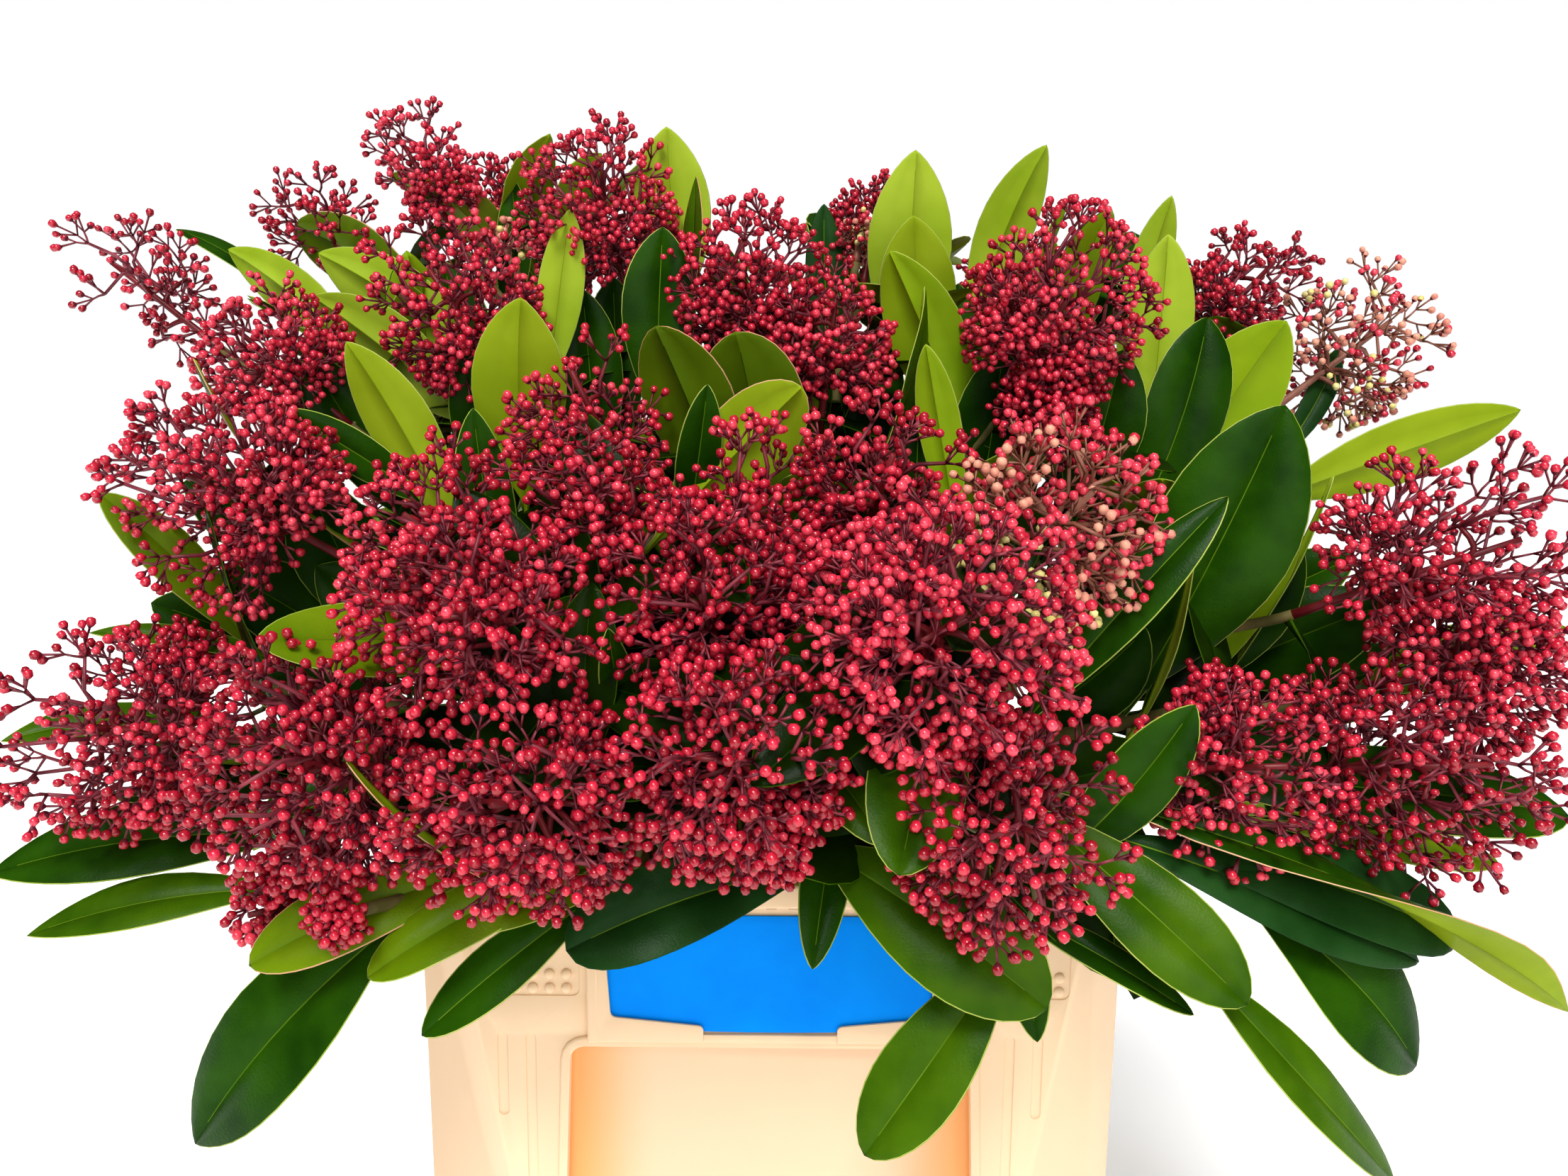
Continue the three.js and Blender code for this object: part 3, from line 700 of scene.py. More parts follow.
def tubes(paths, radii, sides):
    """Closed tubes along paths of equally many points, which share their radii, as points and triangles."""
    paths = np.asarray(paths, float)
    count, steps = paths.shape[:2]
    along = unit(np.gradient(paths, axis=1))
    first = side_axes(unit(paths[:, -1] - paths[:, 0]))[0][:, None]
    across = unit(first - along * (first * along).sum(-1, keepdims=True))
    through = np.cross(along, across)
    angles = np.arange(sides) * 2 * math.pi / sides
    ring = across[:, :, None] * np.cos(angles)[:, None] + through[:, :, None] * np.sin(angles)[:, None]
    points = paths[:, :, None] + ring * np.asarray(radii, float)[None, :, None, None]
    faces = tube_faces(steps, sides)[None] + (np.arange(count) * steps * sides)[:, None, None]
    return points.reshape(-1, 3), faces.reshape(-1, 3)


def arcs(starts, bends, ends, steps):
    """Curves that leave each start towards its bend and arrive at its end, as rows of points."""
    share = np.linspace(0, 1, steps)[None, :, None]
    starts, bends, ends = (np.asarray(row, float)[:, None] for row in (starts, bends, ends))
    return starts * (1 - share) ** 2 + bends * 2 * share * (1 - share) + ends * share ** 2


class Growth:
    """Gathers points and triangles of like things, each with a material slot."""

    def __init__(self):
        self.points, self.faces, self.slots, self.count = [], [], [], 0

    def add(self, points, faces, slots):
        self.points.append(points)
        self.faces.append(faces + self.count)
        self.slots.append(np.broadcast_to(slots, len(faces)))
        self.count += len(points)

    def piece(self, name, materials):
        arrays = (np.concatenate(rows) for rows in (self.points, self.faces, self.slots))
        return new_mesh_piece(name, *arrays, materials)


def surface_of(node):
    """The skin of a CAD node for casting rays, its middle and its area."""
    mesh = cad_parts[node].data
    points = [v.co.copy() for v in mesh.vertices]
    areas = np.array([p.area for p in mesh.polygons])
    middles = np.array([p.center for p in mesh.polygons])
    middle = (middles * areas[:, None]).sum(0) / areas.sum()
    return BVHTree.FromPolygons(points, [tuple(p.vertices) for p in mesh.polygons]), middle, areas.sum()


def joined_skin(*starts):
    """One skin for casting rays of all the nodes whose names start so."""
    points, faces = [], []
    for name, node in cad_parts.items():
        if name.startswith(starts):
            faces += [tuple(len(points) + i for i in p.vertices) for p in node.data.polygons]
            points += [v.co.copy() for v in node.data.vertices]
    return BVHTree.FromPolygons(points, faces)


MASSES = joined_skin("head_", "leaves_")
HEADS_SKIN = joined_skin("head_")


class Head:
    """One flower head: where its stalk starts, the forks and tufts of its side stalks and its buds."""

    def __init__(self, name, style, middle, reach, area, crowding):
        self.name, self.style = name, STYLES[style]
        self.middle = np.array(middle)
        self.axis = unit(self.middle - np.array(HEART))
        tip = reach(self.middle, self.axis)
        self.core = self.middle - self.axis * CORE_BELOW * tip
        self.foot = self.middle - self.axis * (FOOT_BELOW * tip + FOOT_APART)
        self.tip = self.core + self.axis * TIP_ABOVE * reach(self.core, self.axis)
        self.grow_tufts(reach, area, crowding)

    def directions(self, count, widest):
        """Unit rows spread evenly over a cap around the head's axis."""
        shares = (np.arange(count) + 0.5) / count
        rises = 1 - shares * (1 - math.cos(widest))
        turns = np.arange(count) * GOLDEN + DICE.uniform(0, 2 * math.pi)
        first, second = side_axes(self.axis[None])
        level = np.sqrt(1 - rises ** 2)
        rows = (
            self.axis * rises[:, None]
            + first * (level * np.cos(turns))[:, None]
            + second * (level * np.sin(turns))[:, None]
        )
        return unit(rows + DICE.normal(0, 0.06, rows.shape))

    def grow_tufts(self, reach, area, crowding):
        """Tufts reach the head's skin all round but where a neighbour crowds them, and a few stay inside."""
        count = max(LEAST_TUFTS, round(TUFT_SHARE * area * self.style["keep"] / TUFT_AREA))
        ways, reaches = [], []
        for way in self.directions(count, WIDEST_TUFT):
            far = reach(self.core, way)
            crowded = crowding(self.core + way * far, way)
            if far and (DICE.random() < CROWDED_KEEP or not crowded):
                ways.append(way)
                reaches.append(far * DICE.uniform(*self.style["far"]))
        for way in self.directions(round(self.style["inner"] * count), WIDEST_TUFT):
            far = reach(self.core, way)
            if far:
                ways.append(way)
                reaches.append(far * DICE.uniform(*INNER_SHARE))
        ways, reaches = np.array(ways), np.array(reaches)
        tuft_deep = np.minimum(TUFT_DEEP * self.style["open"], 0.6 * reaches)
        self.tufts = self.core + ways * (reaches - tuft_deep)[:, None]
        self.grow_side_stalks(ways, reaches)
        self.grow_buds(ways, tuft_deep)

    def grow_side_stalks(self, ways, reaches):
        """Side stalks leave the main stalk all the way up, and each forks to its nearest tufts."""
        mains = self.directions(max(LEAST_STALKS, round(len(ways) / TUFTS_OF_A_STALK)), WIDEST_TUFT)
        nearest = (ways @ mains.T).argmax(1)
        starts, bends, forks, twigs = [], [], [], []
        length = np.linalg.norm(self.tip - self.foot)
        for number, main in enumerate(mains):
            members = np.flatnonzero(nearest == number)
            if not len(members):
                continue
            way = unit(ways[members].mean(0))
            lean = math.acos(max(-1, min(1, way @ self.axis)))
            start = self.foot + self.axis * length * (1 - LOWEST_STALK * min(1, lean / WIDEST_TUFT) ** 0.7)
            fork = self.core + way * FORK_OUT * reaches[members].mean()
            reach = np.linalg.norm(fork - start)
            starts.append(start)
            bends.append(start + (self.axis * 0.55 + way * 0.45) * 0.5 * reach)
            forks.append(fork)
            for member in members:
                tuft = self.tufts[member]
                twigs.append((fork, fork + way * TWIG_BEND * np.linalg.norm(tuft - fork), tuft))
        self.side_stalks = arcs(starts, bends, forks, 5)
        self.twigs = arcs(*zip(*twigs), 3)

    def grow_buds(self, ways, tuft_deep):
        """Each tuft parts in three, and each part carries a middle bud and two beside it."""
        count = len(ways)
        first, second = side_axes(ways)
        spin = DICE.uniform(0, 2 * math.pi, count)
        forks, places, aims = [], [], []
        for part in range(PARTS_OF_A_TUFT):
            turn = spin + part * 2 * math.pi / PARTS_OF_A_TUFT + DICE.normal(0, PART_TURN, count)
            out = first * np.cos(turn)[:, None] + second * np.sin(turn)[:, None]
            way = unit(ways + out * DICE.uniform(*PART_OUT, count)[:, None] * self.style["open"])
            fork = self.tufts + way * (tuft_deep * DICE.uniform(*PART_LONG, count))[:, None]
            forks.append(fork)
            beside = np.cross(way, unit(out + DICE.normal(0, BESIDE_TURN, out.shape)))
            for side, longer in ((0, MIDDLE_LONGER), (-1, BESIDE_SHORTER), (1, BESIDE_SHORTER)):
                bent = beside * side * DICE.uniform(*BESIDE_OUT)
                aim = unit(way + bent + DICE.normal(0, AIM_SPREAD, way.shape))
                long = tuft_deep * DICE.uniform(*BUD_STALK_LONG, count) * longer
                places.append(fork + aim * long[:, None])
                aims.append(aim)
        self.parts = (np.tile(self.tufts, (PARTS_OF_A_TUFT, 1)), np.concatenate(forks))
        self.bud_forks = np.concatenate([fork for fork in forks for _ in range(3)])
        self.bud_places = np.concatenate(places)
        self.bud_aims = np.concatenate(aims)
        pale_side, shares = self.style["pale_side"], self.style["shares"]
        tuft_tints = DICE.choice(5, count, p=shares)
        if pale_side:
            towards = (ways @ np.array(pale_side) + DICE.normal(0, 0.15, count)).argsort()
            tuft_tints[towards] = np.sort(tuft_tints)
        self.bud_tints = np.tile(tuft_tints, 3 * PARTS_OF_A_TUFT)
        stray = DICE.random(len(self.bud_tints)) < (STRAY_PALE_BUDS if pale_side else STRAY_BUDS)
        self.bud_tints[stray] = DICE.choice(5, stray.sum(), p=shares)


def node_head(name):
    """The head that stands for a CAD node: its tufts reach the node's skin."""
    skin, middle, area = surface_of("head_" + name)
    move = np.array(HEAD_MOVES.get(name, (0, 0, 0))) * MM

    def reach(start, way):
        hit = skin.ray_cast(Vector(start - move), Vector(way))
        return hit[3] or 0

    def crowding(place, way):
        return MASSES.ray_cast(Vector(place + way * 0.1 * MM), Vector(way), CROWDED_NEAR)[0] is not None

    return Head(name, HEAD_STYLES.get(name, "crimson"), np.array(middle) + move, reach, area, crowding)


# Small side sprays that stand between the large heads: style, middle in mm and radius in mm
SPRAYS = (
    ("pale", (-146, 34, 622), 17), ("pale", (44, 60, 632), 14), ("rose", (128, 20, 592), 22),
    ("deep", (176, -150, 420), 17), ("loose", (2, -226, 384), 12), ("deep", (-168, -196, 360), 22),
    ("crimson", (-252, -112, 424), 20), ("deep", (-118, -190, 372), 16),
    ("airy", (276, -158, 437), 42), ("sparse", (-181, -200, 352), 16), ("loose", (-146, -224, 360), 9),
    ("pale", (118, 60, 598), 14), ("crimson", (126, -62, 538), 26),
)


def spray_head(number, style, middle, radius):
    """A small round head that stands for no node."""
    radius *= MM
    return Head(
        f"spray_{number}", style, np.array(middle) * MM,
        lambda start, way: radius, 4 * math.pi * radius ** 2, lambda place, way: False,
    )


HEAD_GROUPS = {
    "low_left": "low_centre low_left_centre low_left far_left left_shoulder",
    "low_right": "low_right_centre low_right great_right great_right_low",
    "front_left": "front_left front_mid mid_a mid_b mid_upper",
    "front_right": "front_star mid_c mid_d",
    "crown_left": "left_upper left_dome arm_left tuft_left spire_left spire_mid",
    "crown_right": "pair_mid pair_right tall_right dark_right",
    "pale": "cream pale_right",
    "back": (
        "back_left_high back_mid_high back_right_high back_left back_mid_left back_mid_right back_right"
    ),
    "small_sprays": "",
}
heads = {group: [node_head(name) for name in names.split()] for group, names in HEAD_GROUPS.items()}
heads["small_sprays"] = [spray_head(number, *row) for number, row in enumerate(SPRAYS)]
every_head = [head for group in heads.values() for head in group]


def tree_of(places):
    """A search tree of places, numbered in their order."""
    tree = kdtree.KDTree(len(places))
    for number, place in enumerate(places):
        tree.insert(place, number)
    tree.balance()
    return tree


def push_apart(places, apart, rounds):
    """Moves places that lie too near each other apart, a little in each round."""
    for _ in range(rounds):
        tree = tree_of(places)
        moves = np.zeros_like(places)
        for number, place in enumerate(places):
            for other, other_number, gap in tree.find_range(place, apart):
                if other_number != number and gap > 1e-7:
                    moves[number] += (place - np.array(other)) * (0.5 * (apart - gap) / gap)
        places = places + moves
    return places


settled = push_apart(np.concatenate([head.bud_places for head in every_head]), BUD_APART, BUD_ROUNDS)
for head in every_head:
    count = len(head.bud_places)
    head.bud_places, settled = settled[:count], settled[count:]
    head.bud_aims = unit(0.55 * head.bud_aims + 0.45 * unit(head.bud_places - head.bud_forks))

bud_looks = [
    mottled("bud_crimson", (0.46, 0.007, 0.024), (0.62, 0.020, 0.052), (0.16, 0.25), 160, 1500, shine=0.6),
    mottled("bud_deep", (0.28, 0.003, 0.012), (0.42, 0.008, 0.026), (0.17, 0.27), 160, 1500, shine=0.6),
    mottled("bud_rose", (0.64, 0.018, 0.048), (0.82, 0.065, 0.105), (0.16, 0.25), 160, 1500, shine=0.6),
    mottled("bud_pink_cream", (0.66, 0.20, 0.15), (0.76, 0.38, 0.24), (0.28, 0.40), 160, 1500, shine=0.36),
    mottled("bud_cream", (0.70, 0.60, 0.16), (0.80, 0.70, 0.30), (0.28, 0.40), 160, 1500, shine=0.36),
    mottled("bud_cup", (0.09, 0.004, 0.014), (0.16, 0.012, 0.026), (0.40, 0.55), 200, 1500, shine=0.25),
]
CUP_SLOT = 5
stalk_looks = [
    mottled("side_stalk", (0.10, 0.008, 0.018), (0.27, 0.038, 0.055), (0.40, 0.52), 120, 1800, shine=0.3),
    mottled("main_stalk", (0.10, 0.003, 0.007), (0.19, 0.011, 0.015), (0.36, 0.48), 90, 1400, shine=0.3),
    mottled("pale_stalk", (0.20, 0.06, 0.035), (0.34, 0.14, 0.09), (0.42, 0.55), 120, 1800, shine=0.3),
]
MAIN_STALK, PALE_STALK = 1, 2
BUD_STALK_RADII = (0.46 * MM, 0.58 * MM)
PART_RADII = (0.68 * MM, 0.58 * MM, 0.52 * MM)
TUFT_STALK_RADII = np.linspace(0.95, 0.72, 3) * MM
SIDE_STALK_RADII = np.linspace(1.45, 1.05, 5) * MM
MAIN_STALK_RADII = np.linspace(2.1, 1.2, 6) * MM
PART_WAVE = 0.4 * MM
IN_THE_CUP = 0.5 * MM

bud_points, bud_faces, bud_cup = bud_model()
for group, members in heads.items():
    buds, stalks = Growth(), Growth()
    for head in members:
        count = len(head.bud_places)
        sizes = BUD_RADIUS * DICE.uniform(*BUD_SIZES, count)
        starts = head.bud_places - head.bud_aims * sizes[:, None] * BUD_MIDDLE
        points, faces = copies(
            (bud_points, bud_faces), starts, head.bud_aims, sizes, DICE.uniform(0, 2 * math.pi, count)
        )
        buds.add(points, faces, np.where(bud_cup[None], CUP_SLOT, head.bud_tints[:, None]).ravel())
        thin = PALE_STALK if head.style in (STYLES["cream"], STYLES["pale"]) else 0
        stout = thin or MAIN_STALK
        bud_stalks = np.stack([head.bud_forks, starts + head.bud_aims * IN_THE_CUP], axis=1)
        low, high = head.parts
        parts = arcs(low, (low + high) / 2 + DICE.normal(0, PART_WAVE, low.shape), high, 3)
        main = arcs([head.foot], [(head.foot + head.core) / 2], [head.tip], 6)
        kinds = (
            (bud_stalks, BUD_STALK_RADII, 3, thin), (parts, PART_RADII, 3, thin),
            (head.twigs, TUFT_STALK_RADII, 4, thin), (head.side_stalks, SIDE_STALK_RADII, 5, stout),
            (main, MAIN_STALK_RADII, 8, stout),
        )
        for paths, radii, sides, slot in kinds:
            stalks.add(*tubes(paths, radii, sides), slot)
    bud_piece = buds.piece(f"buds_{group}", bud_looks)
    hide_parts(*[f"head_{name}" for name in HEAD_GROUPS[group].split()])
    for piece in (bud_piece, stalks.piece(f"flower_stalks_{group}", stalk_looks)):
        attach(piece, "root")


# ---- the stems ----
# About forty cut stems stand on the bucket's floor, lean out through its mouth and bend up again to a
# flower head each. Their bark is green-brown, faintly ridged, with a raised scar where each leaf was.

STEM_FOOT_RADIUS = 4.6 * MM
STEM_TOP_RADIUS = 2.2 * MM
STEM_STEP = 5 * MM
STEM_SIDES = 10
MOUTH_REACH = 122 * MM
FLOOR_REACH = 92 * MM
MOUTH_SHARES, FLOOR_SHARES = (0.72, 1), (0.62, 1)
FLOOR_TURN = 0.25
HEAD_BEND = 0.32
SPRAY_STEM, SPRAY_STEM_SAG = 90 * MM, 2 * MM
RIDGES, RIDGE_SHARE, RIDGE_TURN = 3, 0.05, 30 * MM
ROUGH_SHARE = 0.018
SCAR_STEP, SCAR_SHIFT = 26 * MM, 0.25
SCAR_TALL = 3.4 * MM
SCAR_OUT = 0.7 * MM
CAD_STEMS = [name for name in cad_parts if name.startswith("stem_")]


def end_middles(name):
    """The middles of the lowest and the highest ring of a stem node."""
    rows = np.array([v.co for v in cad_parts[name].data.vertices])
    low, high = rows[:, 2].min(), rows[:, 2].max()
    return rows[rows[:, 2] < low + MM].mean(0), rows[rows[:, 2] > high - MM].mean(0)


def smooth_course(knots):
    """A smooth curve through knots, with points about one step apart."""
    knots = np.array(knots)
    before = np.vstack([2 * knots[0] - knots[1], knots, 2 * knots[-1] - knots[-2]])
    rows = []
    for a, b, c, d in zip(before, before[1:], before[2:], before[3:]):
        steps = max(2, round(np.linalg.norm(c - b) / STEM_STEP))
        t = np.linspace(0, 1, steps, endpoint=False)[:, None]
        curve = 2 * b + (c - a) * t + (2 * a - 5 * b + 4 * c - d) * t ** 2 + (3 * b - a - 3 * c + d) * t ** 3
        rows.append(curve / 2)
    return np.vstack([*rows, knots[-1:]])


def head_course(head, floor_place, mouth_place):
    """The way of a stem from the floor through the bucket's mouth to the foot of its head."""
    bend = head.foot - head.axis * HEAD_BEND * np.linalg.norm(head.foot - mouth_place)
    return smooth_course([floor_place, (floor_place + mouth_place) / 2, mouth_place, bend, head.foot])


def around(place):
    """The angle round the bucket's axis at which a place lies."""
    return math.atan2(place[1], place[0])


def stem_courses():
    """The way of every stem; those of the solid's own stems first."""
    sprays = [head for head in every_head if head.name.startswith("spray_")]
    waiting = sorted((head for head in every_head if head not in sprays), key=lambda head: around(head.foot))
    picked = waiting[::len(waiting) // len(CAD_STEMS)][:len(CAD_STEMS)]
    ends = sorted((end_middles(name) for name in CAD_STEMS), key=lambda pair: around(pair[1]))
    courses = [head_course(head, low, high) for head, (low, high) in zip(picked, ends)]
    for head in waiting:
        if head in picked:
            continue
        out = np.array([head.foot[0], head.foot[1], 0])
        way = unit(out[None])[0]
        turn = DICE.normal(0, FLOOR_TURN)
        cos, sin = math.cos(turn), math.sin(turn)
        floor_way = np.array([way[0] * cos - way[1] * sin, way[0] * sin + way[1] * cos, 0])
        away = min(0.85 * np.linalg.norm(out), MOUTH_REACH)
        mouth = way * away * DICE.uniform(*MOUTH_SHARES) + [0, 0, HEIGHT - 2 * MM]
        low = floor_way * FLOOR_REACH * DICE.uniform(*FLOOR_SHARES) + [0, 0, WALL + MM]
        courses.append(head_course(head, low, mouth))
    for head in sprays:
        start = head.foot - head.axis * SPRAY_STEM
        courses.append(smooth_course([start, (start + head.foot) / 2 - [0, 0, SPRAY_STEM_SAG], head.foot]))
    return courses


def add_stem(growth, course):
    """One stem with ridges and scars, as a closed tube."""
    along = unit(np.gradient(course, axis=0))
    first = unit(np.cross(along, [0.3, 0.9, 0.1]))
    second = np.cross(along, first)
    walked = np.concatenate([[0], np.cumsum(np.linalg.norm(np.diff(course, axis=0), axis=1))])
    share = walked / walked[-1]
    angles = np.arange(STEM_SIDES) * 2 * math.pi / STEM_SIDES
    radii = (STEM_FOOT_RADIUS * (1 - share) + STEM_TOP_RADIUS * share)[:, None] * np.ones(STEM_SIDES)
    phase = DICE.uniform(0, 2 * math.pi)
    radii *= 1 + RIDGE_SHARE * np.sin(RIDGES * angles[None] + phase + walked[:, None] / RIDGE_TURN)
    radii *= 1 + DICE.normal(0, ROUGH_SHARE, radii.shape)
    for number in range(1, int(walked[-1] / SCAR_STEP)):
        place = (number + DICE.uniform(-SCAR_SHIFT, SCAR_SHIFT)) * SCAR_STEP
        near = np.exp(-((walked - place) / SCAR_TALL) ** 2)[:, None]
        facing = np.clip(np.cos(angles - number * GOLDEN - phase), 0, 1)[None] ** 3
        radii += SCAR_OUT * near * facing
    ring = first[:, None] * np.cos(angles)[:, None] + second[:, None] * np.sin(angles)[:, None]
    points = course[:, None] + ring * radii[..., None]
    growth.add(points.reshape(-1, 3), tube_faces(len(course), STEM_SIDES), 0)


courses = stem_courses()
stems = Growth()
for course in courses:
    add_stem(stems, course)
bark_look = mottled(
    "green_bark", (0.075, 0.065, 0.014), (0.17, 0.13, 0.04), (0.55, 0.75), 70, 700, 0.5, 0.4, 0.2
)
stem_piece = stems.piece("stems_with_bark", [bark_look])
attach(stem_piece, "root")
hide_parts(*CAD_STEMS)


# ---- the leaves ----
# Leathery evergreen leaves stand in whorls under the heads and hang over the rim. Each is a pointed oval,
# widest past its middle, folded a little along its midrib, with a thin pale edge. The upper side is dark
# and glossy, the underside a bright yellow-green.

FINE_STEPS = 14
PLAIN_STEPS = 8
LEAF_THICK = 0.45 * MM
EDGE_WIDE = 0.42 * MM
RIB_HALF = 0.34 * MM
RIB_TALL = 0.7 * MM
STALK_SHARE = 0.07
STALK_HALF = 1.2 * MM
TOWARDS_BASE = 1.1
RIB_SHARE = 0.74
ROLLED = 0.75
TIP_STEPS = 1.6
WIDEST_EDGE, WIDEST_RIB, RIB_THINS = 0.3, 0.25, 0.6
TWIST_FROM = 0.3
RIPPLES, RIPPLE_SHIFT = 9, 900
STALK_STOUTER, STALK_END = 2.0, 0.12
RIB_DIP = np.array([0, 0, 0, 0, 0.3, 0, 0, 0, 0]) * RIB_TALL
THICKNESS = LEAF_THICK + np.array([0, 0, 0.35, 1, 0.35, 0, 0]) * RIB_TALL
TINY = 1e-6
# The points of one row across a leaf: nine on the upper side, edge to edge, and seven more underneath
ROW_POINTS = 16
UPPER_COLUMNS = (0, 1, 2, 3, 4, 5, 6, 7, 8)
UNDER_COLUMNS = (0, 9, 10, 11, 12, 13, 14, 15, 8)
COLUMN_PARTS = ("edge", "blade", "blade", "rib", "rib", "blade", "blade", "edge")


def leaf_faces(steps):
    """The triangles of a leaf of so many steps, and the part of the leaf that each belongs to."""
    faces, parts = [], []
    for side, columns in (("upper", UPPER_COLUMNS), ("under", UNDER_COLUMNS)):
        for row in range(steps):
            for left, right, part in zip(columns, columns[1:], COLUMN_PARTS):
                a, b = row * ROW_POINTS + left, row * ROW_POINTS + right
                triangles = [(a, b, b + ROW_POINTS), (a, b + ROW_POINTS, a + ROW_POINTS)]
                if row + 1 == steps:
                    triangles = [(a, b, steps * ROW_POINTS)]
                faces += triangles if side == "upper" else [(x, z, y) for x, y, z in triangles]
                part = "blade" if part == "rib" and row > RIB_SHARE * steps else part
                parts += [side + "_" + part] * len(triangles)
    ring = UPPER_COLUMNS + UNDER_COLUMNS[-2:0:-1]
    for corner in range(1, len(ring) - 1):
        faces.append((ring[0], ring[corner + 1], ring[corner]))
        parts.append("upper_rib")
    return np.array(faces), parts


LEAF_FACES = {steps: leaf_faces(steps) for steps in (FINE_STEPS, PLAIN_STEPS)}
GLOSS = dict(rough=(0.24, 0.36), clouds=38, grain=1100, bump=0.45, bump_mm=0.3, shine=0.06)
MATT = dict(rough=(0.42, 0.55), clouds=22, grain=1300, bump=0.12, bump_mm=0.25, shine=0.05)
GLOSSY_COLOURS = {
    "deep": ((0.005, 0.028, 0.0003), (0.016, 0.064, 0.0008)),
    "mid": ((0.020, 0.064, 0.0005), (0.050, 0.116, 0.0014)),
    "olive": ((0.080, 0.150, 0.001), (0.130, 0.205, 0.003)),
    "blue": ((0.006, 0.032, 0.004), (0.014, 0.056, 0.010)),
    # Painted shade: the inner colour is near-black, for leaves deep in the bunch where shade falls
    "inner": ((0.003, 0.011, 0.0002), (0.008, 0.024, 0.0004)),
}
MATT_COLOURS = {
    "lime_under": ((0.21, 0.32, 0.008), (0.34, 0.46, 0.030)),
    "low_under": ((0.17, 0.25, 0.003), (0.27, 0.36, 0.011)),
    "olive_under": ((0.15, 0.26, 0.002), (0.25, 0.37, 0.008)),
    # Painted shade: the next two are darker undersides, the first for the shaded leaves and the second for the
    # leaves deep in the bunch
    "inner_under": ((0.06, 0.11, 0.001), (0.10, 0.16, 0.003)),
    "painted_shade_under": ((0.022, 0.040, 0.0006), (0.045, 0.070, 0.0012)),
    "pale_edge": ((0.26, 0.36, 0.04), (0.46, 0.50, 0.12)),
    "pink_edge": ((0.55, 0.27, 0.13), (0.70, 0.44, 0.24)),
    "pale_rib": ((0.060, 0.13, 0.002), (0.11, 0.20, 0.008)),
    "dark_rib": ((0.15, 0.22, 0.003), (0.20, 0.28, 0.008)),
}
LEAF_LOOKS = {
    name: mottled("leaf_" + name, *colours, **settings)
    for kinds, settings in ((GLOSSY_COLOURS, GLOSS), (MATT_COLOURS, MATT))
    for name, colours in kinds.items()
}
LOOK_NUMBERS = {name: number for number, name in enumerate(LEAF_LOOKS)}
RIBS = ("pale_rib", "dark_rib")
# Tone: upper side, underside, edge, rib above, rib below
LEAF_TONES = {
    "deep": ("deep", "olive_under", "pale_edge", *RIBS),
    "mid": ("mid", "lime_under", "pale_edge", *RIBS),
    "olive": ("olive", "lime_under", "pale_edge", *RIBS),
    "blue": ("blue", "olive_under", "blue", *RIBS),
    "pink": ("mid", "lime_under", "pink_edge", *RIBS),
    "dusk": ("deep", "olive_under", "pink_edge", *RIBS),
    "low": ("deep", "low_under", "pale_edge", *RIBS),
    "rosy": ("deep", "low_under", "pink_edge", *RIBS),
    # Painted shade: the shaded tone and the inner tone give leaves in shade darker colours
    "shaded": ("deep", "inner_under", "pink_edge", "pale_rib", "deep"),
    "turned": ("deep", "low_under", "pink_edge", *RIBS),
    "blush": ("olive", "lime_under", "pink_edge", *RIBS),
    "inner": ("inner", "painted_shade_under", "mid", "deep", "deep"),
}


def leaf_slots(tone, parts):
    """The look of each triangle of a leaf of this tone."""
    upper, under, edge, rib_above, rib_below = LEAF_TONES[tone]
    looks = {
        "upper_blade": upper, "under_blade": under, "upper_edge": edge, "under_edge": edge,
        "upper_rib": rib_above, "under_rib": rib_below,
    }
    return np.array([LOOK_NUMBERS[looks[part]] for part in parts])


TONE_SLOTS = {
    (tone, steps): leaf_slots(tone, parts) for tone in LEAF_TONES for steps, (_, parts) in LEAF_FACES.items()
}
leaf_bases = []


